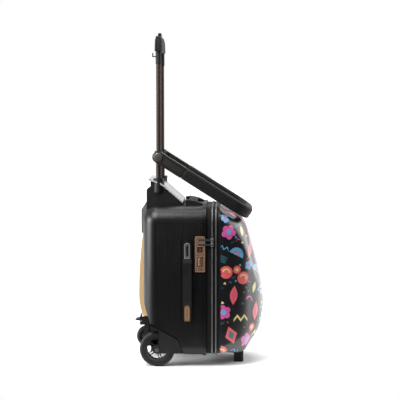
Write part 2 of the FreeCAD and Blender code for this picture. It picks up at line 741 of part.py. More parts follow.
grip_block = prism("grip_block", "XZ_Plane",
                   [polygon((-S.handle_back - S.grip_half_depth, S.grip_bottom),
                            (-S.handle_back - S.grip_shoulder_half_depth, S.grip_bottom + S.grip_shoulder),
                            (-S.handle_back - S.grip_top_half_depth, grip_top),
                            (-S.handle_back + S.grip_top_half_depth, grip_top),
                            (-S.handle_back + S.grip_shoulder_half_depth, S.grip_bottom + S.grip_shoulder),
                            (-S.handle_back + S.grip_half_depth, S.grip_bottom))],
                   -S.grip_half_length, 2 * S.grip_half_length)
shoulder = (S.grip_bottom + S.grip_shoulder).value
round_edges(grip_block, 4 * S.grip_edge,
            lambda edge: along("y")(edge) and abs(edge.BoundBox.ZMax - shoulder) < 0.01)
round_edges(grip_block, S.grip_edge, lambda edge: edge.BoundBox.YLength < 0.01
            or along("y")(edge) and edge.BoundBox.ZMax < S.grip_bottom.value + 0.01)
button_well = box("button_well",
                  (-S.handle_back - S.button_half_depth - S.button_gap,
                   -S.button_half_length - S.button_gap,
                   grip_top - 2 * S.button_sunk),
                  (-S.handle_back + S.button_half_depth + S.button_gap, S.button_half_length + S.button_gap,
                   grip_top + S.button_proud))
grip_body = cut("grip_body", grip_block, button_well)
handle_button = prism("handle_button", "XZ_Plane",
                      [rounded(-S.handle_back - S.button_half_depth, -S.handle_back + S.button_half_depth,
                               grip_top - S.button_sunk, grip_top + S.button_proud,
                               S.button_half_depth * 0.8)],
                      -S.button_half_length, 2 * S.button_half_length)
round_edges(handle_button, S.button_half_depth * 0.4, lambda edge: edge.BoundBox.YLength < 0.01)
keep(grip_body, handle_button)

# Handle base, seat plate, collars and back frame round the foot of the tubes.

plate_run = [(-S.plate_tip, S.plate_tip_top), (-S.plate_knee, S.plate_knee_top), (-S.plate_front,
                                                                                  S.plate_front_top)]
plate_under = [(x, z - S.plate_thick) for x, z in plate_run]
seat_block = prism("seat_block", "XZ_Plane", [polygon(*plate_run, *reversed(plate_under))],
                   -S.plate_half_width, 2 * S.plate_half_width)
knee_x = (-S.plate_knee).value
round_edges(seat_block, S.edge_round, lambda edge: edge.BoundBox.YLength > 1
            and abs(edge.BoundBox.Center.x - knee_x) < 0.01)
below = S.case_top - 2 * S.rear_round
base_block = prism("base_block", "XZ_Plane",
                   [polygon((-S.base_rear, below), (-S.base_rear, S.base_step), (-S.base_neck, S.base_step),
                            (-S.base_neck, S.plate_tip_top), (-S.plate_front, S.plate_tip_top),
                            (-S.plate_front, below))],
                   -S.base_half_width, 2 * S.base_half_width)
step_x, step_z = (-S.base_rear).value, S.base_step.value
round_edges(base_block, S.base_round,
            lambda edge: along("y")(edge) and abs(edge.BoundBox.XMax - step_x) < 0.01
            and abs(edge.BoundBox.ZMax - step_z) < 0.01)
over_plate = prism("over_plate", "XZ_Plane",
                   [polygon(*plate_under, (-S.plate_front, 2 * S.plate_tip_top), (-S.plate_tip,
                                                                                  2 * S.plate_tip_top))],
                   -2 * S.plate_half_width, 4 * S.plate_half_width)
round_edges(over_plate, S.edge_round, lambda edge: edge.BoundBox.YLength > 1
            and abs(edge.BoundBox.Center.x - knee_x) < 0.01)
collar_bores, tube_bores, collars = [], [], []
for side, sign in (("left", 1), ("right", -1)):
    y = sign * S.tube_apart
    collar_bores.append(rod(f"collar_bore_{side}", "z", S.collar_radius, S.collar_head, -S.handle_back, y,
                            S.collar_foot))
    tube_bores.append(rod(f"tube_bore_{side}", "z", S.outer_tube + S.slide_gap, S.case_top, -S.handle_back,
                          y,
                          S.case_top - 2 * S.rear_round))
    collars.append(prism(f"collar_{side}", "XY_Plane",
                         [circle(-S.handle_back, y, S.collar_radius), circle(-S.handle_back, y,
                                                                             S.outer_tube)],
                         S.collar_foot, S.collar_head - S.collar_foot))
roof = S.plate_thick + S.base_wall
base_hollow = prism("base_hollow", "XZ_Plane",
                    [polygon((-S.base_hollow, below), (-S.base_hollow, S.plate_knee_top - 2 * roof),
                             (-S.plate_front - 2 * S.base_wall, S.plate_front_top - roof),
                             (-S.plate_front - 2 * S.base_wall, below))],
                    S.base_wall - S.base_half_width, 2 * (S.base_half_width - S.base_wall))
frame_rear = S.case_rear + S.frame_thick
frame_bottom = S.arm_hinge_height - S.frame_below
frame_shoulder = S.arm_hinge_height + S.frame_top
frame_block = prism("frame_block", "XZ_Plane",
                    [polygon((-frame_rear, frame_bottom), (-frame_rear, frame_shoulder),
                             (-S.base_rear, frame_shoulder + S.frame_crest), (-S.base_rear, frame_bottom))],
                    -S.base_half_width, 2 * S.base_half_width)
hinge_reach = S.strip_half_width + S.side_gap + S.lug_width
hinge_slot = box("hinge_slot", (-2 * frame_rear, -hinge_reach - S.side_gap, 0),
                 (-S.base_rear, hinge_reach + S.side_gap, S.arm_hinge_height + 2 * S.barrel_radius))
keep(cut("seat_plate", seat_block, *collar_bores),
     cut("handle_base", base_block, over_plate, outer_tray, base_hollow, *collar_bores, *tube_bores),
     group("tube_collars", *collars),
     cut("back_frame", frame_block, outer_tray, base_block, hinge_slot))

# Safety bar: drawn level along +X from its pivot, then sloped down and lifted to the pivot.


def u_shape(start, outer, inner_offset):
    """A U in plan from start to the bar's front; outer and inner_offset are taken off its outline."""
    reach = S.bar_reach - outer
    half = S.bar_half_apart + S.bar_half_width - outer
    inner = inner_offset - outer
    return [polygon((start, -half), (reach, -half), (reach, half), (start, half),
                    (start, half - inner), (reach - inner, half - inner),
                    (reach - inner, inner - half), (start, inner - half))]


def u_bar(name, start, outer, inner_offset, height):
    body = prism(name, "XY_Plane", u_shape(start, outer, inner_offset), -height / 2, height)
    front = (S.bar_reach - outer).value
    back = (S.bar_reach - inner_offset).value
    at_front = lambda edge, x: along("z")(edge) and abs(edge.BoundBox.Center.x - x) < 0.01
    round_edges(body, S.bar_bend - outer, lambda edge: at_front(edge, front))
    return round_edges(body, S.bar_bend - inner_offset, lambda edge: at_front(edge, back))


def slope_bar(piece):
    piece.Placement = Placement(Vector(), Rotation(Vector(0, 1, 0), 1))
    bind(piece, "Placement.Rotation.Angle", S.bar_slope)
    return place(piece, -S.handle_back, 0, S.pivot_height)


pad_whole = u_bar("pad_whole", S.pad_start, as_size(0), 2 * S.bar_half_width, S.bar_height)
round_edges(pad_whole, S.bar_edge, lambda edge: edge.BoundBox.ZLength < 0.01)
core_inset = S.bar_half_width - S.core_half_width
bar_core = u_bar("bar_core", S.core_start, core_inset, core_inset + 2 * S.core_half_width, S.core_height)
core_space = u_bar("core_space", S.core_start, core_inset, core_inset + 2 * S.core_half_width,
                   S.core_height)
bar_pad = cut("bar_pad", pad_whole, core_space)
keep(slope_bar(bar_core), slope_bar(bar_pad))

arm_inner = S.bar_half_apart - S.arm_half_width
arm_bores = rod("arm_bores", "y", S.pin_radius + S.pin_gap, 4 * S.bar_half_apart, 0, -2 * S.bar_half_apart,
                0)
for side, sign in (("left", 1), ("right", -1)):
    middle = -sign * S.bar_half_apart
    arm = prism(f"arm_{side}", "XZ_Plane",
                [polygon((0, -S.arm_height / 2), (S.pad_start, -S.arm_height / 2),
                         (S.pad_start, S.arm_height / 2), (0, S.arm_height / 2))],
                middle - S.arm_half_width, 2 * S.arm_half_width)
    eye = rod(f"arm_eye_{side}", "y", S.knuckle_radius, 2 * S.arm_half_width, 0, -middle - S.arm_half_width,
              0)
    keep(slope_bar(cut(f"bar_arm_{side}", fuse(f"arm_whole_{side}", arm, eye), core_space, arm_bores)))

pins = []
for side, sign in (("left", 1), ("right", -1)):
    y = sign * S.tube_apart
    knuckle = arm_inner - S.side_gap - S.tube_apart
    low_y = sign * S.tube_apart if sign > 0 else -(S.tube_apart + knuckle)
    clamp = rod(f"clamp_{side}", "z", S.bracket_radius, S.bracket_height, -S.handle_back, y,
                S.pivot_height - S.bracket_height / 2)
    boss = rod(f"bracket_boss_{side}", "y", S.knuckle_radius, knuckle, -S.handle_back, low_y,
               S.pivot_height)
    seat = rod(f"bracket_seat_{side}", "z", S.outer_tube, S.outer_head, -S.handle_back, y, 0)
    through = rod(f"bracket_through_{side}", "z", S.inner_tube + S.slide_gap, 2 * S.outer_head,
                  -S.handle_back, y, 0)
    pin_start = S.outer_tube + S.tube_apart
    pin_length = S.bar_half_apart + S.arm_half_width - pin_start
    pin_y = pin_start if sign > 0 else -(pin_start + pin_length)
    pin_hole = rod(f"pin_hole_{side}", "y", S.pin_radius, pin_length, -S.handle_back, pin_y, S.pivot_height)
    pins.append(rod(f"pin_{side}", "y", S.pin_radius, pin_length, -S.handle_back, pin_y, S.pivot_height))
    keep(cut(f"bar_bracket_{side}", fuse(f"bracket_whole_{side}", clamp, boss), seat, through, pin_hole))
keep(group("bar_pins", *pins))

# Main wheels: tyre, spoked rim, two ball bearings, axle bolt and a housing that holds the bolt at both ends.


def bearing(name, y):
    return prism(name, "XZ_Plane", [circle(0, 0, S.bearing_radius), circle(0, 0,
                                                                           S.axle_radius + S.pin_gap)],
                 -y - S.bearing_width, S.bearing_width)


def wheel_parts():
    half = S.wheel_width / 2
    tyre = turned("tyre_shape", [(S.tyre_inner, -half), (S.wheel_radius - S.tread_drop, -half),
                                 (S.wheel_radius, -S.tread_half), (S.wheel_radius, S.tread_half),
                                 (S.wheel_radius - S.tread_drop, half), (S.tyre_inner, half)])
    rim = turned("rim_shape", [(S.bearing_radius, -half), (S.rim_hub, -half), (S.rim_hub, half),
                               (S.bearing_radius, half)])
    band = rim.newObject("PartDesign::Revolution", "rim_band")
    band_sketch = new_sketch(rim, "XY_Plane", [polygon((S.rim_inner, -half * 0.8), (S.tyre_inner,
                                                                                    -half * 0.8),
                                                       (S.tyre_inner, half * 0.8), (S.rim_inner,
                                                                                    half * 0.8))])
    band.Profile = band_sketch
    band.ReferenceAxis = (band_sketch, ["V_Axis"])
    loops = []
    start = (S.rim_hub + S.bearing_radius) / 2
    finish = (S.rim_inner + S.tyre_inner) / 2
    for sign in (-1, 1):
        near = sign * S.spoke_half_gap
        far = sign * (S.spoke_half_gap + S.spoke_thick)
        loops.append(polygon((start, near), (finish, near), (finish, far), (start, far)))
    spokes = pad(rim, "XZ_Plane", loops, -S.spoke_depth / 2, S.spoke_depth)
    doc.recompute()
    pattern = rim.newObject("PartDesign::PolarPattern", "spoke_pattern")
    pattern.Originals = [spokes]
    axis = next(item for item in rim.Origin.OriginFeatures if item.Role == "Y_Axis")
    pattern.Axis = (axis, [""])
    pattern.Angle = 360
    bind(pattern, "Occurrences", S.spoke_count)
    rim.Tip = pattern
    bearings = group("bearing_pair", bearing("bearing_outer", -half),
                     bearing("bearing_inner", half - S.bearing_width))
    return {"tyre": tyre, "rim": rim, "bearings": bearings}


wheel = wheel_parts()
well_low = S.wheel_middle - S.wheel_width / 2 - S.well_side_gap
well_high = S.wheel_middle + S.wheel_width / 2 + S.well_side_gap
housing_start = well_low - S.housing_wall
for piece in wheel.values():
    place(piece, -S.wheel_back, -S.wheel_middle, S.wheel_radius)
for name, piece in wheel.items():
    right = group(f"{name}_right", piece)
    keep(right, mirrored(f"{name}_left", right))

housing_block = box("housing_block", (-S.arch_rear, -S.case_half_width, S.housing_bottom),
                    (S.arch_front * -1, -housing_start, S.arch_top))
wheel_well = rod("wheel_well", "y", S.wheel_radius + S.well_gap, well_high - well_low, -S.wheel_back,
                 -well_high,
                 S.wheel_radius)
well_mouth = box("well_mouth", (-2 * S.wheel_back, -2 * S.case_half_width, 0),
                 (-S.housing_edge, -well_low, S.wheel_radius + S.wheel_radius + S.well_gap))
axle_boss = rod("axle_boss", "y", S.boss_radius, S.case_half_width - well_high, -S.wheel_back,
                -S.case_half_width,
                S.wheel_radius)
axle_hole = rod("axle_hole", "y", S.axle_radius, 2 * S.case_half_width, -S.wheel_back,
                -2 * S.case_half_width,
                S.wheel_radius)
arched = common("arched_housing", housing_block, outer_arch)
welled = cut("welled_housing", arched, wheel_well, well_mouth)
groove_face = box("groove_face", (-2 * S.case_rear, -2 * S.case_half_width, -S.case_half_width),
                  (S.case_rear, S.groove_depth - S.case_half_width, S.case_top))
groove = cut("housing_groove", groove_face, arch("groove_arch", -S.groove_width))
housing = cut("wheel_housing_right", fuse("bossed_housing", welled, axle_boss), axle_hole, groove)
shank = rod("axle_shank", "y", S.axle_radius, S.case_half_width - housing_start, -S.wheel_back,
            -S.case_half_width,
            S.wheel_radius)
head = rod("axle_bolt_head", "y", S.axle_head, S.axle_head_height, -S.wheel_back,
           -S.case_half_width - S.axle_head_height, S.wheel_radius)
axle = fuse("axle_right", shank, head)
keep(housing, mirrored("wheel_housing_left", housing), axle, mirrored("axle_left", axle))

# Support arm: a bowed strip hung from a hinge under the back frame, with a fork, wheel and pedal at its foot.

hinge_x = -S.case_rear - S.arm_hinge_back
strip_outer = [(hinge_x - S.barrel_radius + S.strip_thick / 2, S.arm_hinge_height),
               (-S.case_rear - S.strip_bulge, S.strip_bulge_height), (-S.strip_foot, S.strip_foot_height)]


def bowed_strip(name):
    """A web whose side view is two arcs that meet upright at the bulge, with a flange along each side."""
    (top_x, top_z), (bulge_x, bulge_z), (foot_x, foot_z) = [(x.value, z.value) for x, z in strip_outer]
    thick = S.strip_thick.value

    def arc_to(x, z):
        """Centre and radius of the arc that leaves the bulge upright and passes x, z."""
        across, along_z = x - bulge_x, z - bulge_z
        radius = (across * across + along_z * along_z) / (2 * across)
        return bulge_x + radius, radius

    edges, outer_edges = [], []
    for x, z in ((top_x, top_z), (foot_x, foot_z)):
        centre, radius = arc_to(x, z)
        angle = math.atan2(z - bulge_z, x - centre)
        middle = math.copysign((math.pi + abs(angle)) / 2, angle)
        spots = {}
        for key, reach in (("outer", radius), ("inner", radius - thick)):
            spots[key] = [Vector(centre + reach * math.cos(turn), 0, bulge_z + reach * math.sin(turn))
                          for turn in (angle, middle, math.copysign(math.pi, angle))]
        edges.append(Part.makeLine(spots["outer"][0], spots["inner"][0]))
        outer_edges.append(Part.Arc(*spots["outer"]).toShape())
        edges.append(outer_edges[-1])
        edges.append(Part.Arc(*spots["inner"]).toShape())
    face = Part.Face(Part.Wire(Part.__sortEdges__(edges)))
    half = S.strip_half_width.value
    web = face.extrude(Vector(0, 2 * half, 0))
    web.translate(Vector(0, -half, 0))
    inner_x = -(S.case_rear + S.flange_gap).value
    knee_z = (S.arch_top - 4 * S.flange_gap).value
    outline = outer_edges + [Part.makeLine(Vector(a[0], 0, a[1]), Vector(b[0], 0, b[1])) for a, b in (
        ((foot_x, foot_z), (-S.flange_foot.value, foot_z)), ((-S.flange_foot.value, foot_z), (inner_x,
                                                                                              knee_z)),
        ((inner_x, knee_z), (inner_x, top_z)), ((inner_x, top_z), (top_x, top_z)))]
    side = Part.Face(Part.Wire(Part.__sortEdges__(outline)))
    flanges = []
    for start in (-half, half - S.flange_thick.value):
        flange = side.extrude(Vector(0, S.flange_thick.value, 0))
        flange.translate(Vector(0, start, 0))
        flanges.append(flange)
    strip = doc.addObject("Part::Feature", name)
    strip.Shape = web.fuse(flanges).removeSplitter()
    return strip


barrel = rod("barrel", "y", S.barrel_radius, 2 * S.strip_half_width, hinge_x, -S.strip_half_width,
             S.arm_hinge_height)
barrel_bore = rod("barrel_bore", "y", S.hinge_pin + S.pin_gap, 4 * S.strip_half_width, hinge_x,
                  -2 * S.strip_half_width, S.arm_hinge_height)
arm_strip = cut("support_arm", fuse("strip_whole", bowed_strip("strip"), barrel), barrel_bore)
lugs = []
for side, sign in (("left", 1), ("right", -1)):
    near = S.strip_half_width + S.side_gap
    low_y = near if sign > 0 else -(near + S.lug_width)
    lugs.append(rod(f"lug_{side}", "y", S.barrel_radius, S.lug_width, hinge_x, low_y, S.arm_hinge_height))
    lugs.append(box(f"lug_foot_{side}", (hinge_x, low_y, S.arm_hinge_height - S.barrel_radius),
                    (-S.case_rear, low_y + S.lug_width, S.arm_hinge_height + S.barrel_radius)))
bracket_solids = [fuse("hinge_left", lugs[0], lugs[1]), fuse("hinge_right", lugs[2], lugs[3])]
pin_space = rod("hinge_pin_space", "y", S.hinge_pin, 2 * hinge_reach, hinge_x, -hinge_reach,
                S.arm_hinge_height)
hinge_pin = rod("hinge_pin", "y", S.hinge_pin, 2 * hinge_reach, hinge_x, -hinge_reach, S.arm_hinge_height)
keep(arm_strip, cut("hinge_bracket", group("hinge_lugs", *bracket_solids), pin_space), hinge_pin)

fork_half = S.small_wheel_width / 2 + S.well_side_gap + S.cheek_thick
bridge = box("bridge", (-S.fork_rear, -fork_half, S.fork_bottom), (-S.fork_front, fork_half, S.fork_top))
fork_pieces = [bridge]
for side, sign in (("left", 1), ("right", -1)):
    low_y = fork_half - S.cheek_thick if sign > 0 else -fork_half
    fork_pieces.append(box(f"cheek_{side}",
                           (-S.small_wheel_back - S.cheek_half_width, low_y, S.small_wheel_height),
                           (-S.small_wheel_back + S.cheek_half_width, low_y + S.cheek_thick,
                            S.fork_bottom)))
    fork_pieces.append(rod(f"cheek_end_{side}", "y", S.cheek_half_width, S.cheek_thick, -S.small_wheel_back,
                           low_y,
                           S.small_wheel_height))
    lug_y = S.pedal_half_width + S.side_gap if sign > 0 else -fork_half
    fork_pieces.append(box(f"pedal_lug_{side}",
                           (-S.pedal_pivot_back - 2 * S.pedal_pin, lug_y, S.fork_bottom),
                           (-S.fork_rear, lug_y + fork_half - S.pedal_half_width - S.side_gap,
                            S.pedal_pivot_height + 3 * S.pedal_pin)))
axle_space = rod("small_axle_space", "y", S.small_axle, 2 * fork_half, -S.small_wheel_back, -fork_half,
                 S.small_wheel_height)
pedal_pin_space = rod("pedal_pin_space", "y", S.pedal_pin, 2 * fork_half, -S.pedal_pivot_back, -fork_half,
                      S.pedal_pivot_height)
keep(cut("support_fork", fuse("fork_whole", *fork_pieces), axle_space, pedal_pin_space, arm_strip),
     rod("support_axle", "y", S.small_axle, 2 * fork_half, -S.small_wheel_back, -fork_half,
         S.small_wheel_height),
     rod("pedal_pin", "y", S.pedal_pin, 2 * fork_half, -S.pedal_pivot_back, -fork_half,
         S.pedal_pivot_height))

small_half = S.small_wheel_width / 2
support_tyre = turned("support_tyre", [(S.small_hub_radius, -small_half),
                                       (S.small_wheel_radius - S.tread_drop, -small_half),
                                       (S.small_wheel_radius, -S.tread_half), (S.small_wheel_radius,
                                                                               S.tread_half),
                                       (S.small_wheel_radius - S.tread_drop, small_half),
                                       (S.small_hub_radius, small_half)])
support_hub = turned("support_hub", [(S.small_axle + S.pin_gap, -small_half), (2 * S.small_axle,
                                                                               -small_half),
                                     (2 * S.small_axle, -small_half * 0.5), (S.small_hub_radius * 0.8,
                                                                             -small_half * 0.5),
                                     (S.small_hub_radius, -small_half), (S.small_hub_radius, small_half),
                                     (S.small_hub_radius * 0.8, small_half * 0.5), (2 * S.small_axle,
                                                                                    small_half * 0.5),
                                     (2 * S.small_axle, small_half), (S.small_axle + S.pin_gap,
                                                                      small_half)])
for piece in (support_tyre, support_hub):
    keep(place(piece, -S.small_wheel_back, 0, S.small_wheel_height))

pedal_eye = rod("pedal_eye", "y", 2 * S.pedal_pin, 2 * S.pedal_half_width, -S.pedal_pivot_back,
                -S.pedal_half_width,
                S.pedal_pivot_height)
eye_x = -S.pedal_pivot_back
pedal_top = S.pedal_pivot_height + 2 * S.pedal_pin
pedal_plate = prism("pedal_plate", "XZ_Plane",
                    [polygon((-S.pedal_tip, pedal_top - S.pedal_thick / 2), (-S.pedal_tip, pedal_top),
                             (eye_x - 3 * S.pedal_pin, pedal_top + S.pedal_thick / 2),
                             (eye_x - S.pedal_pin, S.tongue_top), (eye_x, S.tongue_top),
                             (eye_x + S.pedal_pin, S.pedal_pivot_height),
                             (eye_x - 2 * S.pedal_pin, S.pedal_pivot_height))],
                    -S.pedal_half_width, 2 * S.pedal_half_width)
pedal_bore = rod("pedal_bore", "y", S.pedal_pin + S.pin_gap, 4 * S.pedal_half_width, -S.pedal_pivot_back,
                 -2 * S.pedal_half_width, S.pedal_pivot_height)
keep(cut("kick_pedal", fuse("pedal_whole", pedal_plate, pedal_eye), pedal_bore))

# Top carry handle: a grip on two legs that lift out of low caps.

grip_under = S.case_top + S.top_grip_rise - S.top_grip_thick
leg_foot = S.case_top - S.top_leg_depth
dome = rod("top_dome", "y", S.dome_radius, 4 * S.top_grip_half_length, -S.dome_peak,
           -2 * S.top_grip_half_length,
           S.case_top + S.top_grip_rise - S.dome_radius)
top_profile = [(-S.top_grip_half_length, leg_foot), (-S.top_grip_half_length,
                                                     grip_under + S.top_grip_thick),
               (S.top_grip_half_length, grip_under + S.top_grip_thick), (S.top_grip_half_length, leg_foot),
               (S.top_grip_half_length - S.top_leg, leg_foot), (S.top_grip_half_length - S.top_leg,
                                                                grip_under),
               (S.top_leg - S.top_grip_half_length, grip_under), (S.top_leg - S.top_grip_half_length,
                                                                  leg_foot)]
grip_bridge = prism("grip_bridge", "YZ_Plane", [polygon(*top_profile)], top_x - S.top_grip_half_width,
                    2 * S.top_grip_half_width)
top_grip = common("top_handle_grip", grip_bridge, dome)
caps = []
for side, sign in (("left", 1), ("right", -1)):
    leg_middle = sign * (S.top_grip_half_length - S.top_leg / 2)
    cap = prism(f"top_cap_{side}", "XY_Plane",
                [rounded(-S.top_cap_rear, S.top_cap_front, leg_middle - S.top_cap_length / 2,
                         leg_middle + S.top_cap_length / 2, S.top_leg),
                 rounded(top_x - S.top_grip_half_width - S.leg_gap,
                         top_x + S.top_grip_half_width + S.leg_gap,
                         leg_middle - S.top_leg / 2 - S.leg_gap, leg_middle + S.top_leg / 2 + S.leg_gap,
                         S.leg_gap)],
                S.case_top - S.edge_round / 2, S.top_grip_rise + S.edge_round / 2)
    domed = common(f"top_cap_domed_{side}", cap, dome)
    channel = box(f"top_channel_{side}",
                  (top_x - S.top_grip_half_width - S.leg_gap,
                   -S.leg_gap if sign > 0 else -S.top_grip_half_length - S.leg_gap, grip_under - S.leg_gap),
                  (top_x + S.top_grip_half_width + S.leg_gap,
                   S.top_grip_half_length + S.leg_gap if sign > 0 else S.leg_gap,
                   S.case_top + 2 * S.top_grip_rise))
    caps.append(cut(f"top_cap_seated_{side}", domed, outer_tray, channel))
keep(top_grip, group("top_handle_caps", *caps))

# Side carry handle: a bowed grip on two guide pegs, with a plate on each end.

floor_y = S.case_half_width + S.side_grip_gap
plate_end = S.side_cap_margin + S.side_cap_length
ramp_low = S.side_handle_foot + plate_end
ramp_high = S.side_handle_head - plate_end
ramp = S.side_cap_length / 4
bow = floor_y + S.side_grip_bow
thick = S.side_grip_thick
strap_side = prism("strap_side", "YZ_Plane",
                   [polygon((-floor_y, S.side_handle_foot), (-floor_y, ramp_low), (-bow, ramp_low + ramp),
                            (-bow, ramp_high - ramp), (-floor_y, ramp_high), (-floor_y, S.side_handle_head),
                            (-floor_y - thick, S.side_handle_head), (-floor_y - thick, ramp_high),
                            (-bow - thick, ramp_high - ramp), (-bow - thick, ramp_low + ramp),
                            (-floor_y - thick, ramp_low), (-floor_y - thick, S.side_handle_foot))],
                   side_x - S.side_grip_half_width, 2 * S.side_grip_half_width)
strap_face = prism("strap_face", "XZ_Plane",
                   [rounded(side_x - S.side_grip_half_width, side_x + S.side_grip_half_width,
                            S.side_handle_foot,
                            S.side_handle_head, S.side_grip_round)], S.case_half_width,
                            2 * (bow - floor_y + thick))
pegs = []
for name, height in (("low", peg_low), ("high", peg_high)):
    pegs.append(rod(f"peg_{name}", "y", S.peg_radius, S.peg_length, side_x, -floor_y - thick / 2, height))
keep(fuse("side_handle_grip", common("strap", strap_side, strap_face), *pegs))
side_caps = {"side_cap_upper": S.side_handle_head - plate_end,
             "side_cap_lower": S.side_handle_foot + S.side_cap_margin}
for name, low in side_caps.items():
    keep(prism(name, "XZ_Plane",
               [rounded(side_x - S.side_cap_half_width, side_x + S.side_cap_half_width, low,
                        low + S.side_cap_length,
                        S.side_cap_half_width * 0.95, S.side_cap_margin / 2)], floor_y + thick,
                        S.side_cap_proud))

# Lock: plate and housing, three dials on an axle, a release button and docks for the two pulls.

lock_face = S.case_half_width + S.lock_proud
plate_solid = prism("lock_plate", "XZ_Plane",
                    [rounded(S.lock_at - S.lock_half_width, S.lock_at + S.lock_half_width, S.lock_foot,
                             lock_head,
                             S.lock_round)], S.case_half_width, S.lock_proud)
lock_back = box("lock_back", (S.lock_at - lock_inner, -S.case_half_width - S.lock_proud / 2, lock_low),
                (S.lock_at + lock_inner, S.lock_deep - S.case_half_width, lock_high))
dial_y = S.dial_radius - S.dial_proud - lock_face
dials_half = S.dial_pitch + S.dial_height / 2 + S.dial_gap
dial_room = rod("dial_room", "z", S.dial_radius + S.dial_gap, 2 * dials_half, S.lock_at, dial_y,
                dial_middle - dials_half)
axle_half = dials_half + S.dial_gap * 4
dial_axle_hole = rod("dial_axle_hole", "z", S.dial_axle, 2 * axle_half, S.lock_at, dial_y,
                     dial_middle - axle_half)
button_hole = rod("lock_button_hole", "y", S.lock_button_half + S.dial_gap,
                  S.lock_proud + 2 * S.lock_button_sunk,
                  S.lock_at, -lock_face - S.lock_proud, lock_button_at)
keyhole = rod("keyhole", "y", S.keyhole_radius, S.keyhole_depth, S.lock_at, -lock_face, keyhole_at)
pull_y = lock_face + S.dock_gap
docks = []
for name, height in (("upper", pull_upper), ("lower", pull_lower)):
    docks.append(box(f"dock_{name}", (S.pull_tip - S.dock_gap, -2 * lock_face,
                                      height - S.pull_half_height - S.dock_gap),
                     (S.chain_main, -S.case_half_width - S.lock_proud / 2,
                      height + S.pull_half_height + S.dock_gap)))
keep(cut("lock_body", fuse("lock_whole", plate_solid, lock_back), dial_room, dial_axle_hole, button_hole,
         keyhole,
         *docks),
     rod("lock_dial_axle", "z", S.dial_axle, 2 * axle_half, S.lock_at, dial_y, dial_middle - axle_half))
for number in (1, 2, 3):
    middle = dial_middle + (2 - number) * S.dial_pitch
    keep(prism(f"lock_dial_{number}", "XY_Plane",
               [circle(S.lock_at, dial_y, S.dial_radius), circle(S.lock_at, dial_y,
                                                                 S.dial_axle + S.pin_gap)],
               middle - S.dial_height / 2, S.dial_height))
keep(rod("lock_button", "y", S.lock_button_half, S.lock_button_proud + S.lock_button_sunk, S.lock_at,
         -lock_face - S.lock_button_proud, lock_button_at))

# Zip sliders ride on the main chain; each carries a pull that lies in its dock on the lock.

chain_face = S.case_half_width - S.tape_inset + S.chain_proud
slider_face = chain_face + S.slider_thick
dock_floor = S.case_half_width + S.lock_proud / 2
pull_low = dock_floor + S.dock_gap
pull_high = pull_low + S.pull_thick
hinge_at = S.chain_main
sliders = []
for name, height in (("upper", pull_upper), ("lower", pull_lower)):
    slider = box(f"slider_{name}", (S.chain_main - S.slider_half_width, -slider_face,
                                    height - S.slider_half_height),
                 (S.chain_main + S.slider_half_width, -chain_face, height + S.slider_half_height))
    pull_room = box(f"pull_room_{name}",
                    (S.chain_main - 2 * S.slider_half_width, -2 * pull_high,
                     height - S.pull_half_height - S.dock_gap),
                    (S.chain_main + 2 * S.slider_half_width,
                     S.pull_eye + S.dock_gap - pull_low - S.pull_thick / 2,
                     height + S.pull_half_height + S.dock_gap))
    pin = rod(f"pull_pin_{name}", "z", S.pull_pin, 2 * S.slider_half_height, hinge_at,
              -pull_low - S.pull_thick / 2,
              height - S.slider_half_height)
    posts = box(f"slider_posts_{name}",
                (hinge_at - 2 * S.pull_pin, -pull_high, height - S.slider_half_height),
                (hinge_at + 2 * S.pull_pin, -chain_face, height + S.slider_half_height))
    whole = cut(f"slider_forked_{name}", fuse(f"slider_whole_{name}", slider, posts), pull_room)
    sliders.append(fuse(f"zip_slider_{name}", whole, pin))
    tab = box(f"tab_{name}", (S.pull_tip, -pull_high, height - S.pull_half_height),
              (hinge_at, -pull_low, height + S.pull_half_height))
    tab_eye = rod(f"tab_eye_{name}", "z", S.pull_eye, 2 * S.pull_half_height, hinge_at,
                  -pull_low - S.pull_thick / 2, height - S.pull_half_height)
    tab_bore = rod(f"tab_bore_{name}", "z", S.pull_pin + S.pin_gap, 4 * S.pull_half_height, hinge_at,
                   -pull_low - S.pull_thick / 2, height - 2 * S.pull_half_height)
    keep(cut(f"zip_pull_{name}", fuse(f"pull_whole_{name}", tab, tab_eye), tab_bore))
keep(group("zip_sliders", *sliders))


def write_parts():
    doc.recompute()
    for item in doc.Objects:
        if "Invalid" in item.State or "Error" in item.State:
            raise RuntimeError(f"{item.Name} failed: {item.State}")
    for node in NODES:
        if node.Shape.isNull() or not node.Shape.isValid():
            raise RuntimeError(f"{node.Name} has no valid shape")
    os.makedirs("parts", exist_ok=True)
    for node in NODES:
        node.Label = node.Name
        node.Shape.exportStep(f"parts/{node.Label}.step")
    print(len(NODES), "parts")


write_parts()
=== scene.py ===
"""Ride on suitcase: finishes, print, ribs, zip teeth, trim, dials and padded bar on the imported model."""

import json
import math

import bmesh
import bpy
from mathutils import Matrix, Vector
from mathutils.bvhtree import BVHTree


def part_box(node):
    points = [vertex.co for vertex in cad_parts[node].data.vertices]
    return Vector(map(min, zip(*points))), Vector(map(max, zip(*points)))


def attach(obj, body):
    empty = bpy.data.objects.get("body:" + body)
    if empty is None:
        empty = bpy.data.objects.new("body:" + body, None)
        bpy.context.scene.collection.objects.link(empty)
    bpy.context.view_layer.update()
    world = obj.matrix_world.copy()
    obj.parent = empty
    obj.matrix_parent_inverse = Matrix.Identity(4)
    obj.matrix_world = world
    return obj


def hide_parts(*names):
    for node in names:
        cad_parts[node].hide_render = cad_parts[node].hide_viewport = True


bl_info = {
    "name": "Ride on suitcase",
    "version": (1, 1, 0),
    "blender": (4, 5, 0),
    "location": "View3D > Sidebar > Suitcase",
    "description": "Dresses the packed ride on suitcase with its finishes and fine parts",
    "category": "Object",
}

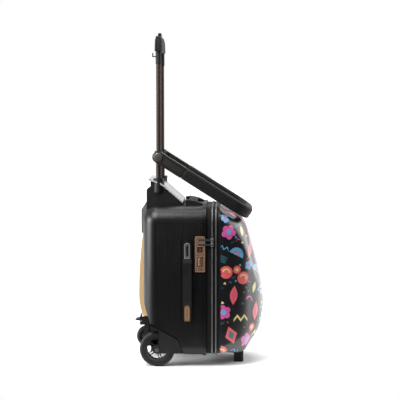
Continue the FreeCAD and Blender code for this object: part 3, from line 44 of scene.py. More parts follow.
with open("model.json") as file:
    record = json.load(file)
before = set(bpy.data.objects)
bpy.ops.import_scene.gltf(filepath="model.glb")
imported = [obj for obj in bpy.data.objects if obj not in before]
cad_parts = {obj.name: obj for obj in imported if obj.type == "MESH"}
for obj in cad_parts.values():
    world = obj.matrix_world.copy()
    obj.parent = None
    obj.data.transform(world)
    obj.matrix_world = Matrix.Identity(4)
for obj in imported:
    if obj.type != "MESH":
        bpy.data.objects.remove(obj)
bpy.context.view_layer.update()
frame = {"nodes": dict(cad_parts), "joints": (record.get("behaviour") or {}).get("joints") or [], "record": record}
NODES = frame["nodes"]
JOINTS = {joint["child"]: joint for joint in frame["joints"]}
MM = 0.001


def linear(code):
    """Linear RGBA from an sRGB hex code."""
    steps = [int(code[i:i + 2], 16) / 255 for i in (0, 2, 4)]
    return tuple(s / 12.92 if s <= 0.04045 else ((s + 0.055) / 1.055) ** 2.4 for s in steps) + (1.0,)


def length(name, about, millimetres):
    """A size that the sidebar shows, kept in metres."""
    return bpy.props.FloatProperty(name=name, description=about, default=millimetres * MM, min=0.0,
                                   precision=5, unit="LENGTH", subtype="DISTANCE")


def colour(name, about, code):
    """A colour that the sidebar shows."""
    return bpy.props.FloatVectorProperty(name=name, description=about, default=linear(code), size=4,
                                         min=0.0, max=1.0, subtype="COLOR")


class SuitcaseSizes(bpy.types.PropertyGroup):
    """Sizes of the fine parts."""

    rib_pitch: length("Rib pitch", "From rib to rib on the rear shell", 4.6)
    rib_width: length("Rib width", "Width of a rib", 2.6)
    rib_proud: length("Rib height", "Height of a rib above the shell", 0.2)
    tooth_pitch: length("Tooth pitch", "From tooth to tooth on the zip", 2.6)
    tooth_proud: length("Tooth height", "Height of a zip tooth", 1.0)
    tooth_width: length("Tooth width", "Width of a zip tooth across the chain", 3.6)
    print_lift: length("Print lift", "Thickness of the print on the front shell", 0.15)
    print_gap: length("Print gap", "Gap between the shapes of the print", 1.0)
    pad_width: length("Pad width", "Bar padding across the U", 26.0)
    pad_height: length("Pad height", "Bar padding square to the U", 36.0)
    screw_radius: length("Screw head", "Radius of a screw's head", 2.9)
    digit_height: length("Digit height", "Height of a number on a lock dial", 4.2)


class SuitcaseColours(bpy.types.PropertyGroup):
    """Colours of the main finishes."""

    shell: colour("Shell", "Moulded rear shell", "070708")
    ground: colour("Print ground", "Ground colour of the printed front shell", "0c0c10")
    coral: colour("Coral", "Coral ink", "dd5a5e")
    pink: colour("Pink", "Pink ink", "cb4f93")
    sky: colour("Sky", "Sky blue ink", "5a9fca")
    yellow: colour("Yellow", "Pale yellow ink", "d8cd86")
    teal: colour("Teal", "Teal ink", "35707a")
    bronze: colour("Bronze", "Anodised tubes", "2e241d")
    gold: colour("Gold", "Gold painted arm", "caa97a")
    rose: colour("Rose gold", "Coated lock", "87654f")
    plate: colour("Gold plate", "Plated end of the side handle", "826a4b")
    steel: colour("Steel", "Plated steel and zip teeth", "b4b4b2")
    black: colour("Black trim", "Moulded black trim", "121213")


def sizes():
    return bpy.context.scene.suitcase_sizes


def colours():
    return bpy.context.scene.suitcase_colours


# Nodes and materials


def add(tree, kind, inputs=None, **settings):
    """Add a node with its settings, and set or link its inputs."""
    node = tree.nodes.new(kind)
    for key, value in settings.items():
        setattr(node, key, value)
    for key, value in (inputs or {}).items():
        if isinstance(value, bpy.types.NodeSocket):
            tree.links.new(value, node.inputs[key])
        else:
            node.inputs[key].default_value = value
    return node


MATERIALS = {}
# Places of the colour sockets on a Mix node
MIX_FACTOR, MIX_FIRST, MIX_SECOND, MIX_RESULT = 0, 6, 7, 2
# Most values of a noise lie between these
NOISE_LOW, NOISE_HIGH = 0.3, 0.7
# A Wave texture holds 20 radians of bands in each unit
WAVE_RADIANS = 20.0


def new_material(name, base, **sockets):
    """A named Principled material; returns its tree and shader."""
    material = bpy.data.materials.new(name)
    material.use_nodes = True
    tree = material.node_tree
    shader = tree.nodes["Principled BSDF"]
    shader.inputs["Base Color"].default_value = base
    material.diffuse_color = base
    for key, value in sockets.items():
        shader.inputs[key.replace("_", " ")].default_value = value
    MATERIALS[name] = material
    return tree, shader


def object_points(tree, scale=(1, 1, 1)):
    """Object coordinates, stretched."""
    where = add(tree, "ShaderNodeTexCoord")
    spread = add(tree, "ShaderNodeMapping", {"Vector": where.outputs["Object"], "Scale": scale})
    return spread.outputs["Vector"]


def per_mm(millimetres):
    """Texture scale that gives features of this size."""
    return 1.0 / (millimetres * MM)


def vary(tree, shader, base, spot_mm, amount, points=None, rough=None):
    """Uneven colour, and roughness between two values, in spots of a given size."""
    points = points or object_points(tree)
    cloud = add(tree, "ShaderNodeTexNoise", {"Vector": points, "Scale": per_mm(spot_mm), "Detail": 4.0,
                                             "Roughness": 0.6})
    dark = tuple(c * (1 - amount) for c in base[:3]) + (1.0,)
    light = tuple(min(1.0, c * (1 + amount)) for c in base[:3]) + (1.0,)
    shade = add(tree, "ShaderNodeMix", {MIX_FACTOR: cloud.outputs["Fac"], MIX_FIRST: dark,
                                        MIX_SECOND: light}, data_type="RGBA")
    tree.links.new(shade.outputs[MIX_RESULT], shader.inputs["Base Color"])
    if rough:
        span = add(tree, "ShaderNodeMapRange", {"Value": cloud.outputs["Fac"], "From Min": NOISE_LOW,
                                                "From Max": NOISE_HIGH, "To Min": rough[0],
                                                "To Max": rough[1]})
        tree.links.new(span.outputs["Result"], shader.inputs["Roughness"])


def relief(tree, shader, depth_mm, kind, inputs, **settings):
    """Add the last node of a pattern and raise the pattern to a given depth."""
    pattern = add(tree, kind, inputs, **settings)
    raised = add(tree, "ShaderNodeBump", {"Height": pattern.outputs[0], "Distance": depth_mm * MM,
                                          "Strength": 1.0})
    tree.links.new(raised.outputs["Normal"], shader.inputs["Normal"])


def grain(tree, shader, grain_mm, depth_mm, kind="ShaderNodeTexNoise"):
    """Fine grain of a given size and depth."""
    relief(tree, shader, depth_mm, kind, {"Vector": object_points(tree), "Scale": per_mm(grain_mm)})


def make_moulded(name, base, rough, grain_mm=1.6, depth_mm=0.05, specular=0.3):
    """Moulded plastic: its etched grain, drawn coarse enough to show, breaks up the gloss."""
    tree, shader = new_material(name, base, Specular_IOR_Level=specular)
    vary(tree, shader, base, spot_mm=40, amount=0.18, rough=rough)
    grain(tree, shader, grain_mm, depth_mm)


# Width of a brushed or drawn line, coarser than the real one so that it shows
LINE_MM = 0.8


def make_metal(name, base, rough, brushed=(1, 1, 0.02), depth_mm=0.008, metal=1.0, amount=0.10,
               specular=0.5):
    """Metal drawn or brushed one way: long thin streaks in colour, gloss and relief."""
    tree, shader = new_material(name, base, Metallic=metal, Specular_IOR_Level=specular)
    streaks = object_points(tree, brushed)
    vary(tree, shader, base, LINE_MM, amount, points=streaks, rough=rough)
    relief(tree, shader, depth_mm, "ShaderNodeTexNoise", {"Vector": streaks, "Scale": per_mm(LINE_MM),
                                                          "Detail": 2.0})


# The clear film over the printed shell
CLEAR_FILM = {"Coat_Weight": 1.0, "Coat_IOR": 1.62, "Coat_Roughness": 0.3}
PRINT_INKS = ("coral", "pink", "sky", "yellow", "teal")


def make_ink(name, base):
    """Screen-printed ink: an even colour with the screen's faint mesh, drawn coarse enough to show."""
    tree, shader = new_material(name, base, Roughness=0.36, **CLEAR_FILM)
    vary(tree, shader, base, spot_mm=3.0, amount=0.10)
    grain(tree, shader, grain_mm=1.2, depth_mm=0.02)


def make_woven(name, base, thread_mm):
    """Woven polyester tape: warp and weft cross in a small check."""
    tree, shader = new_material(name, base, Roughness=0.85, Specular_IOR_Level=0.2, Sheen_Weight=0.15)
    heights = []
    for axis in ("X", "Z"):
        threads = add(tree, "ShaderNodeTexWave", {"Vector": object_points(tree),
                                                  "Scale": per_mm(thread_mm) * math.tau / WAVE_RADIANS,
                                                  "Distortion": 0.4, "Detail": 1.0}, bands_direction=axis)
        heights.append(threads.outputs["Fac"])
    vary(tree, shader, base, spot_mm=6, amount=0.25)
    relief(tree, shader, 0.25, "ShaderNodeMath", {0: heights[0], 1: heights[1]}, operation="MULTIPLY")


def make_materials():
    tone = colours()
    # Moulded ABS of the rear shell: a satin skin with broad, soft highlights
    make_moulded("moulded_abs_shell", tone.shell, (0.33, 0.37), grain_mm=1.4, depth_mm=0.02, specular=0.36)
    # Polycarbonate film over the print: deep gloss with a soft haze where it mirrors the studio
    tree, shader = new_material("gloss_polycarbonate", tone.ground, Specular_IOR_Level=0.25, **CLEAR_FILM)
    vary(tree, shader, tone.ground, spot_mm=60, amount=0.3, rough=(0.18, 0.26))
    # Inks of the print: flat colours under the same film
    for name in PRINT_INKS:
        make_ink(f"ink_{name}", getattr(tone, name))
    # Polyester zip tape: dull and woven, its threads drawn coarse enough to show
    make_woven("woven_polyester_tape", linear("101011"), 2.17)
    # Glass-filled nylon and ABS trim: matt black mouldings
    make_moulded("moulded_nylon_trim", tone.black, (0.40, 0.55), specular=0.28)
    # Satin ABS of the bar's arms: edges catch the light
    make_moulded("satin_abs", linear("1c1b1a"), (0.26, 0.34), depth_mm=0.02, specular=0.5)
    # Polished ABS of the button: a small, sharp highlight
    make_moulded("polished_abs", linear("161618"), (0.08, 0.15), grain_mm=8, depth_mm=0.01, specular=0.5)
    # Gloss ABS of the seat plate: mirrors the bright studio at a low angle, and its light grey base is painted
    # reflection of that studio
    make_moulded("grey_gloss_abs", linear("9c9d9e"), (0.10, 0.18), grain_mm=8, depth_mm=0.01, specular=0.5)
    # Grey satin ABS of the back frame, and darker, glossier ones of the bar's pivot caps and inserts, whose grey
    # over the black arms is painted highlight
    make_moulded("grey_satin_abs", linear("5e5e5c"), (0.40, 0.52))
    make_moulded("charcoal_abs", linear("3c3c3b"), (0.30, 0.42), specular=0.5)
    make_moulded("graphite_abs", linear("262625"), (0.20, 0.30), depth_mm=0.02, specular=0.5)
    # Soft-touch coating: rubbery and nearly without gloss
    make_moulded("soft_touch_grip", linear("131314"), (0.50, 0.66), grain_mm=1.0, depth_mm=0.04,
                 specular=0.22)
    # Thermoplastic rubber strap of the side handle: a greyer black than the shell
    make_moulded("thermoplastic_strap", linear("101010"), (0.46, 0.60), grain_mm=1.2, depth_mm=0.06)
    # EVA foam skin: closed cells, drawn coarse enough to show as a fine pebble
    foam = linear("0e0c0b")
    tree, shader = new_material("eva_foam_skin", foam, Specular_IOR_Level=0.2, Sheen_Weight=0.06)
    vary(tree, shader, foam, spot_mm=25, amount=0.22, rough=(0.58, 0.74))
    grain(tree, shader, grain_mm=1.8, depth_mm=0.12, kind="ShaderNodeTexVoronoi")
    # Anodised aluminium tube: drawn lines along its length
    make_metal("anodised_aluminium_bronze", tone.bronze, (0.46, 0.54), depth_mm=0.003, metal=0.3,
               amount=0.05, specular=0.25)
    # Satin gold on pressed steel and die-cast zinc: bright, with little mirror in it
    make_metal("gold_painted_steel", tone.gold, (0.34, 0.46), brushed=(1, 1, 0.05), metal=0.25)
    make_metal("gold_plated_zinc", tone.plate, (0.28, 0.40), brushed=(1, 1, 0.05), metal=0.4)
    make_metal("rose_gold_zinc", tone.rose, (0.30, 0.44), brushed=(0.08, 1, 1), metal=0.35)
    # A lighter copy of the rose gold for the lock's raised borders: painted highlight
    make_metal("bright_rose_gold", linear("c4a48e"), (0.24, 0.36), brushed=(0.08, 1, 1), metal=0.35)
    # Brushed steel, bright and streaked along the plate, and nickel on the zip's teeth, grey and even
    make_metal("brushed_steel", tone.steel, (0.24, 0.38), brushed=(1, 1, 0.04), depth_mm=0.003, metal=0.7)
    make_metal("nickel_zip_teeth", linear("8c8c8a"), (0.30, 0.45), brushed=(1, 1, 1), metal=0.5)
    # Black nickel on zip pulls and axles, a dark mirror, and black oxide on screws and pins, duller
    make_metal("black_nickel_zinc", linear("56565a"), (0.25, 0.40), brushed=(0.05, 1, 1), metal=0.7)
    make_metal("black_oxide_steel", linear("2c2c2e"), (0.35, 0.50), brushed=(1, 1, 1), metal=0.9)
    # Dark, warm brown behind the lock's dials and keyhole and round its button: painted shade in the recesses of
    # its windows
    make_metal("oiled_bronze", linear("3a2c22"), (0.35, 0.50), brushed=(0.08, 1, 1), metal=0.4)
    # Cast polyurethane tyre: dull and a little uneven
    rubber = linear("121213")
    tree, shader = new_material("polyurethane_tyre", rubber, Specular_IOR_Level=0.3)
    vary(tree, shader, rubber, spot_mm=9, amount=0.3, rough=(0.48, 0.64))
    grain(tree, shader, grain_mm=1.5, depth_mm=0.08)
    # Glass-filled nylon of the rims: satin, with highlights on its edges
    make_moulded("glass_filled_rim", linear("161618"), (0.24, 0.36), specular=0.45)
    # Moulded rubber of the feet: dull, with a deep grain
    make_moulded("moulded_rubber", linear("151515"), (0.66, 0.80), depth_mm=0.08)
    # Plain nylon of the plugs: milky white
    make_moulded("plain_nylon", linear("d2d0c8"), (0.40, 0.50))
    # Enamel paint on the dials' numbers: flat and dark
    paint = linear("2a2420")
    tree, shader = new_material("number_paint", paint, Roughness=0.6)
    vary(tree, shader, paint, spot_mm=1.0, amount=0.2)


SLOT_FINISH = {
    "shell_black": "moulded_abs_shell",
    "shell_print": "gloss_polycarbonate",
    "zip_tape_black": "woven_polyester_tape",
    "zip_chain_black": "woven_polyester_tape",
    "trim_black": "moulded_nylon_trim",
    "gloss_black": "polished_abs",
    "tube_bronze": "anodised_aluminium_bronze",
    "grip_black": "soft_touch_grip",
    "pad_black": "eva_foam_skin",
    "gold": "gold_painted_steel",
    "rose_gold": "rose_gold_zinc",
    "silver": "brushed_steel",
    "tyre_black": "polyurethane_tyre",
    "rim_black": "glass_filled_rim",
    "foot_rubber": "moulded_rubber",
    "nylon_white": "plain_nylon",
}
# Parts whose finish differs from the rest of their slot
NODE_FINISH = {
    "side_handle_grip": "thermoplastic_strap",
    "side_cap_lower": "gold_plated_zinc",
    # The seat plate's light grey is painted reflection of the studio
    "seat_plate": "grey_gloss_abs",
    "back_frame": "grey_satin_abs",
    "bar_arm_left": "satin_abs",
    "bar_arm_right": "satin_abs",
    "zip_pull_upper": "black_nickel_zinc",
    "zip_pull_lower": "black_nickel_zinc",
    "axle_left": "black_nickel_zinc",
    "axle_right": "black_nickel_zinc",
    "bar_pins": "black_oxide_steel",
    "hinge_pin": "black_oxide_steel",
}


# Meshes


class Mesher:
    """Collects vertices and faces of like shapes, each with its own finish."""

    def __init__(self):
        self.verts, self.faces, self.finish = [], [], []

    def add(self, verts, faces, place=Matrix(), finish=0):
        start = len(self.verts)
        self.verts += [place @ Vector(v) for v in verts]
        self.faces += [tuple(start + i for i in face) for face in faces]
        self.finish += [finish] * len(faces)

    def mesh(self, name, smooth=False):
        mesh = bpy.data.meshes.new(name)
        mesh.from_pydata([tuple(v) for v in self.verts], [], self.faces)
        mesh.polygons.foreach_set("material_index", self.finish)
        mesh.polygons.foreach_set("use_smooth", [smooth] * len(mesh.polygons))
        return mesh


def new_piece(name, mesh, body, slot, *materials):
    """Link a finished mesh, give it its finish and let it ride on a body."""
    piece = bpy.data.objects.new(name, mesh)
    bpy.context.scene.collection.objects.link(piece)
    for material in materials:
        mesh.materials.append(MATERIALS[material])
    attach(piece, body)
    return piece


def evaluated(holder, name):
    """The plain mesh that an object's modifiers give; the object is then removed."""
    graph = bpy.context.evaluated_depsgraph_get()
    mesh = bpy.data.meshes.new_from_object(holder.evaluated_get(graph))
    mesh.name = name
    holder.modifiers.clear()
    bpy.data.objects.remove(holder)
    return mesh


def grow(name, tree, base, **inputs):
    """Run a geometry tree on a mesh and return the plain mesh that comes out."""
    holder = bpy.data.objects.new(f"{name}_holder", base)
    bpy.context.scene.collection.objects.link(holder)
    modifier = holder.modifiers.new("grow", "NODES")
    modifier.node_group = tree
    for item in tree.interface.items_tree:
        if item.item_type == "SOCKET" and item.in_out == "INPUT" and item.name in inputs:
            modifier[item.identifier] = inputs[item.name]
    return evaluated(holder, name)


def new_tree(name, **inputs):
    """A geometry tree with named inputs, and its input and output nodes."""
    tree = bpy.data.node_groups.new(name, "GeometryNodeTree")
    tree.interface.new_socket("Geometry", in_out="INPUT", socket_type="NodeSocketGeometry")
    for key, kind in inputs.items():
        tree.interface.new_socket(key, in_out="INPUT", socket_type=f"NodeSocket{kind}")
    tree.interface.new_socket("Geometry", in_out="OUTPUT", socket_type="NodeSocketGeometry")
    return tree, add(tree, "NodeGroupInput").outputs


def end_tree(tree, geometry, material):
    """Close a tree with real geometry and its material."""
    solid = add(tree, "GeometryNodeRealizeInstances", {"Geometry": geometry})
    finish = add(tree, "GeometryNodeSetMaterial", {"Geometry": solid.outputs["Geometry"],
                                                   "Material": material})
    add(tree, "NodeGroupOutput", {"Geometry": finish.outputs["Geometry"]})


# Points of the outline at each corner, and round a rib
CORNER_STEPS, RIB_SIDES = 16, 8
BAND_INPUTS = {"Width": "Float", "Height": "Float", "Upper": "Float", "Lower": "Float", "Pitch": "Float"}


def band_loop(tree, take):
    """The case's rounded outline as a curve: Upper and Lower are the radii of its corners."""
    outline = add(tree, "GeometryNodeCurvePrimitiveQuadrilateral", {"Width": take["Width"],
                                                                    "Height": take["Height"]})
    spot = add(tree, "GeometryNodeInputPosition")
    place = add(tree, "ShaderNodeSeparateXYZ", {"Vector": spot.outputs["Position"]})
    above = add(tree, "FunctionNodeCompare", {"A": place.outputs["Y"], "B": 0.0}, operation="GREATER_THAN")
    corner = add(tree, "GeometryNodeSwitch", {"Switch": above.outputs["Result"], "False": take["Lower"],
                                              "True": take["Upper"]}, input_type="FLOAT")
    rounded = add(tree, "GeometryNodeFilletCurve", {"Curve": outline.outputs["Curve"], "Count": CORNER_STEPS,
                                                    "Radius": corner.outputs["Output"]}, mode="POLY")
    loop = add(tree, "GeometryNodeResampleCurve", {"Curve": rounded.outputs["Curve"],
                                                   "Length": take["Pitch"]}, mode="LENGTH")
    return loop.outputs["Curve"]


def tooth_tree():
    """Zip teeth one pitch apart along the case's outline."""
    tree, take = new_tree("zip_teeth", **BAND_INPUTS, Tooth="Vector", Finish="Material")
    spots = add(tree, "GeometryNodeCurveToPoints", {"Curve": band_loop(tree, take)}, mode="EVALUATED")
    tooth = add(tree, "GeometryNodeMeshCube", {"Size": take["Tooth"]})
    row = add(tree, "GeometryNodeInstanceOnPoints", {"Points": spots.outputs["Points"],
                                                     "Instance": tooth.outputs["Mesh"],
                                                     "Rotation": spots.outputs["Rotation"]})
    end_tree(tree, row.outputs["Instances"], take["Finish"])
    return tree


def rib_tree():
    """A row of ribs that each run round the case."""
    tree, take = new_tree("shell_ribs", **BAND_INPUTS, Section="Vector", Count="Int", Step="Vector",
                          Finish="Material")
    circle = add(tree, "GeometryNodeCurvePrimitiveCircle", {"Resolution": RIB_SIDES, "Radius": 1.0})
    section = add(tree, "GeometryNodeTransform", {"Geometry": circle.outputs["Curve"],
                                                  "Scale": take["Section"]})
    rib = add(tree, "GeometryNodeCurveToMesh", {"Curve": band_loop(tree, take),
                                                "Profile Curve": section.outputs["Geometry"]})
    line = add(tree, "GeometryNodeMeshLine", {"Count": take["Count"], "Offset": take["Step"]}, mode="OFFSET")
    row = add(tree, "GeometryNodeInstanceOnPoints", {"Points": line.outputs["Mesh"],
                                                     "Instance": rib.outputs["Mesh"]})
    end_tree(tree, row.outputs["Instances"], take["Finish"])
    return tree


def screw_tree():
    """Screw heads on points, each turned to face its way."""
    tree, take = new_tree("screws", Template="Object", Finish="Material")
    facing = add(tree, "GeometryNodeInputNamedAttribute", {"Name": "facing"}, data_type="FLOAT_VECTOR")
    turn = add(tree, "FunctionNodeAlignRotationToVector", {"Vector": facing.outputs["Attribute"]}, axis="Z")
    head = add(tree, "GeometryNodeObjectInfo", {"Object": take["Template"]})
    row = add(tree, "GeometryNodeInstanceOnPoints", {"Points": take["Geometry"],
                                                     "Instance": head.outputs["Geometry"],
                                                     "Rotation": turn.outputs["Rotation"]})
    end_tree(tree, row.outputs["Instances"], take["Finish"])
    return tree


# Corner radii of the case, and how far the zip band lies below the shell and its chains above the band
CASE_UPPER, CASE_LOWER = 50 * MM, 24 * MM
BAND_BELOW = 3 * MM
CHAIN_ABOVE = 2.2 * MM


def upright(x):
    """Turns a loop drawn flat into the case's cross-section at x."""
    low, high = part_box("zip_tape")
    turn = Matrix(((0, 0, 1, 0), (1, 0, 0, 0), (0, 1, 0, 0), (0, 0, 0, 1)))
    return Matrix.Translation((x, 0, (low.z + high.z) / 2)) @ turn


# The wheel arch in the rear lower edge: corners of its roof from the rear face to its front
ARCH_ROOF = ((-0.163, 0.191), (-0.141, 0.130), (-0.055, 0.084), (-0.041, 0.035))


def arch_height(x):
    """Height of the wheel arch's roof over x."""
    for (x0, z0), (x1, z1) in zip(ARCH_ROOF, ARCH_ROOF[1:]):
        if x0 <= x <= x1:
            return z0 + (z1 - z0) * (x - x0) / (x1 - x0)
    return 0.0


def plain(mesh):
    """A mesh's vertices and faces."""
    return [v.co for v in mesh.vertices], [tuple(p.vertices) for p in mesh.polygons]


def skin_of(node):
    """A search tree over a part's surface."""
    return BVHTree.FromPolygons(*plain(NODES[node].data))


def rounded_outline(width, height, radius, steps=6):
    """Corners of a rectangle with round corners, anticlockwise about its middle."""
    radius = min(radius, width / 2, height / 2)
    points = []
    for corner, (sx, sy) in enumerate(((1, 1), (-1, 1), (-1, -1), (1, -1))):
        for step in range(steps + 1):
            angle = math.radians(90 * (corner + step / steps))
            points.append((sx * (width / 2 - radius) + radius * math.cos(angle),
                           sy * (height / 2 - radius) + radius * math.sin(angle)))
    return points


def stack(loops, closed=False):
    """Vertices and faces of equal loops joined in order: capped at both ends, or closed on itself."""
    count = len(loops[0])
    verts = [point for loop in loops for point in loop]
    faces = []
    for level in range(len(loops) if closed else len(loops) - 1):
        lower, upper = level * count, (level + 1) % len(loops) * count
        for i in range(count):
            j = (i + 1) % count
            faces.append((lower + i, lower + j, upper + j, upper + i))
    if not closed:
        faces.append(tuple(reversed(range(count))))
        faces.append(tuple(range(len(verts) - count, len(verts))))
    return verts, faces


# Trim is sunk into its seat by this much, and its corners stay at least this round, in millimetres
SINK, LEAST_CORNER = 0.5, 0.2


def inset_loops(width, height, radius, *levels):
    """Loops of a rounded rectangle in millimetres, one for each level's inset and height."""
    loops = []
    for inset, z in levels:
        corner = max(radius - inset, LEAST_CORNER)
        outline = rounded_outline(width - 2 * inset, height - 2 * inset, corner)
        loops.append([(x * MM, y * MM, z * MM) for x, y in outline])
    return loops


def slab(width, height, radius, rise, edge):
    """A plate with round corners and a bevelled upper edge, in millimetres, rise high above its seat."""
    return stack(inset_loops(width, height, radius, (0, -SINK), (0, rise - edge), (edge, rise)))


def border(width, height, radius, band, rise):
    """A raised border with round corners, in millimetres, its outside width by height."""
    return stack(inset_loops(width, height, radius, (0, -SINK), (0, rise), (band, rise), (band, -SINK)),
                 closed=True)


def dome(radius, rise, rings=7, around=32):
    """A round cap that rises from its seat, in millimetres, to a small flat at its top."""
    steepest = 86
    circle = [(math.cos(math.tau * i / around), math.sin(math.tau * i / around)) for i in range(around)]
    levels = [(radius, -SINK)]
    for ring in range(rings):
        lift = math.radians(steepest * ring / (rings - 1))
        levels.append((radius * math.cos(lift), rise * math.sin(lift)))
    return stack([[(x * reach * MM, y * reach * MM, z * MM) for x, y in circle] for reach, z in levels])


def on_side(side, x, y, z):
    """Stands a flat shape on a side face: side is -1 for the lock's side and 1 for the other."""
    if side < 0:
        turn = Matrix(((1, 0, 0, 0), (0, 0, -1, 0), (0, 1, 0, 0), (0, 0, 0, 1)))
    else:
        turn = Matrix(((-1, 0, 0, 0), (0, 0, 1, 0), (0, 1, 0, 0), (0, 0, 0, 1)))
    return Matrix.Translation((x, y, z)) @ turn


class SUITCASE_OT_finishes(bpy.types.Operator):
    """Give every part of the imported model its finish"""

    bl_idname = "suitcase.finishes"
    bl_label = "Finishes"

    def execute(self, context):
        make_materials()
        for part in frame["record"]["subparts"]:
            node = NODES[part["node"]]
            finish = MATERIALS[NODE_FINISH.get(part["node"], SLOT_FINISH[part["material_slot"]])]
            for holder in node.material_slots:
                holder.material = finish
            if not node.material_slots:
                node.data.materials.append(finish)
        return {"FINISHED"}


class SUITCASE_OT_ribs(bpy.types.Operator):
    """Raise the fine ribs that run round the rear shell"""

    bl_idname = "suitcase.ribs"
    bl_label = "Shell ribs"

    # Where the ribs start, past the rounded rear edge, and end, short of the lip
    FIRST, LAST = -0.117, 0.0125
    # From point to point along a rib, and what a rib keeps clear of the arch and of the parts on the shell
    ALONG, CLEAR = 8 * MM, 4 * MM
    SEATS = ("lock_body", "side_handle_grip", "handle_base", "top_handle_caps", "top_handle_grip")

    def execute(self, context):
        size = sizes()
        low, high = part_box("zip_tape")
        mesh = grow("shell_ribs", rib_tree(), bpy.data.meshes.new("rib_seed"),
                    Width=high.y - low.y + 2 * BAND_BELOW, Height=high.z - low.z + 2 * BAND_BELOW,
                    Upper=CASE_UPPER, Lower=CASE_LOWER, Pitch=self.ALONG,
                    Section=(size.rib_proud, size.rib_width / 2, 1.0),
                    Count=int((self.LAST - self.FIRST) / size.rib_pitch) + 1, Step=(0, 0, size.rib_pitch),
                    Finish=MATERIALS["moulded_abs_shell"])
        mesh.transform(upright(self.FIRST))
        self.trim(mesh)
        new_piece("shell_ribs", mesh, "case", "shell_black")
        return {"FINISHED"}

    def trim(self, mesh):
        """Take away what the ribs would cross: the wheel arch and the seats of other parts."""
        seats = [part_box(name) for name in self.SEATS]
        pitch = sizes().rib_pitch
        build = bmesh.new()
        build.from_mesh(mesh)
        gone = []
        for face in build.faces:
            spot = face.calc_center_median()
            # A rib is cut square across, so each of its faces counts at the rib's middle
            spot.x = self.FIRST + round((spot.x - self.FIRST) / pitch) * pitch
            seated = any(all(low[i] - self.CLEAR < spot[i] < high[i] + self.CLEAR for i in range(3))
                         for low, high in seats)
            if seated or spot.z < arch_height(spot.x) + self.CLEAR:
                gone.append(face)
        bmesh.ops.delete(build, geom=gone, context="FACES")
        ends = bmesh.ops.holes_fill(build, edges=[e for e in build.edges if e.is_boundary])["faces"]
        for edge in {edge for end in ends for edge in end.edges}:
            edge.smooth = False
        bmesh.ops.recalc_face_normals(build, faces=build.faces)
        build.to_mesh(mesh)
        build.free()
        mesh.polygons.foreach_set("use_smooth", [True] * len(mesh.polygons))


class SUITCASE_OT_zip(bpy.types.Operator):
    """Set the teeth of both zips round the case"""

    bl_idname = "suitcase.zip"
    bl_label = "Zip teeth"

    # From the ends of the chains to the middle of each, and a tooth's share of its pitch
    CHAIN_HALF = 2.5 * MM
    TOOTH_SHARE = 0.55

    def execute(self, context):
        size = sizes()
        low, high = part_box("zip_chains")
        tree = tooth_tree()
        rise = CHAIN_ABOVE - BAND_BELOW
        rows = Mesher()
        for x in (low.x + self.CHAIN_HALF, high.x - self.CHAIN_HALF):
            mesh = grow("zip_teeth_row", tree, bpy.data.meshes.new("tooth_seed"), Width=high.y - low.y,
                        Height=high.z - low.z, Upper=CASE_UPPER + rise, Lower=CASE_LOWER + rise,
                        Pitch=size.tooth_pitch,
                        Tooth=(2 * size.tooth_proud, size.tooth_width, size.tooth_pitch * self.TOOTH_SHARE),
                        Finish=MATERIALS["nickel_zip_teeth"])
            rows.add(*plain(mesh), upright(x))
        new_piece("zip_teeth", rows.mesh("zip_teeth"), "case", "silver", "nickel_zip_teeth")
        return {"FINISHED"}


# Print of the front shell: loose shapes in five inks, drawn flat and laid on the curved shell


def ring_points(radius, start, stop, count):
    return [(radius * math.cos(math.radians(start + (stop - start) * i / count)),
             radius * math.sin(math.radians(start + (stop - start) * i / count))) for i in range(count + 1)]


def disc(radius):
    return [ring_points(radius, 0, 360, 28)[:-1]]


def half_ring(radius, thick):
    return [ring_points(radius, 0, 180, 20) + ring_points(radius - thick, 180, 0, 20)]


def rainbow(radius, thick):
    step = 1.7 * thick
    return half_ring(radius, thick) + half_ring(radius - step, thick)


def triangle(radius):
    return [ring_points(radius, 90, 450, 3)[:-1]]


def zigzag(width, height, thick):
    turns = 4
    top = [(width * (i / turns - 0.5), height * (0.5 if i % 2 else -0.5) + thick / 2)
           for i in range(turns + 1)]
    return [top + [(x, y - thick) for x, y in reversed(top)]]


def leaf(radius, width):
    steps = 12
    right = [(width * math.sin(math.pi * i / steps), radius * (2 * i / steps - 1)) for i in range(steps + 1)]
    return [right + [(-x, y) for x, y in reversed(right[1:-1])]]


def bars(width, thick, count):
    pitch = 2.2 * thick
    return [[(-width / 2, y), (width / 2, y), (width / 2, y + thick), (-width / 2, y + thick)]
            for y in (pitch * (i - (count - 1) / 2) - thick / 2 for i in range(count))]


def diamond(radius):
    waist = 0.7 * radius
    return [[(waist, 0), (0, radius), (-waist, 0), (0, -radius)]]


def petals(radius):
    count, out, size = 5, 0.56 * radius, 0.40 * radius
    middles = ring_points(out, 90, 450, count)[:-1]
    return [[(x + at_x, y + at_y) for x, y in ring_points(size, 0, 360, 18)[:-1]] for at_x, at_y in middles]


# Shapes of the print, from large to small: outlines in millimetres with their ink
LARGE = [
    [(disc(19), "coral"), (half_ring(12, 4.5), "yellow")],
    [(rainbow(24, 7), "sky"), (disc(5), "pink")],
    [(triangle(25), "pink"), (disc(7), "yellow")],
    [(leaf(29, 12), "coral"), (leaf(20, 3), "pink")],
    [(petals(23), "pink"), (disc(8), "sky")],
    [(zigzag(46, 14, 8), "yellow")],
    [(half_ring(23, 22.5), "sky"), (half_ring(11, 3), "coral")],
    [(diamond(27), "coral"), (diamond(14), "teal")],
]
MIDDLE = [
    [(rainbow(14, 3.6), "teal")],
    [(disc(12), "coral"), (disc(5), "yellow")],
    [(zigzag(30, 10, 4), "sky")],
    [(leaf(17, 7), "yellow")],
    [(bars(24, 2.4, 4), "teal")],
    [(petals(15), "sky"), (disc(5), "pink")],
    [(triangle(15), "yellow")],
    [(half_ring(14, 5), "pink")],
]
SMALL = [
    [(disc(3.2), "sky")],
    [(bars(10, 1.6, 2), "teal")],
    [(triangle(5.5), "yellow")],
    [(half_ring(6, 2), "pink")],
    [(disc(2.2), "coral")],
    [(zigzag(13, 4, 1.6), "teal")],
]


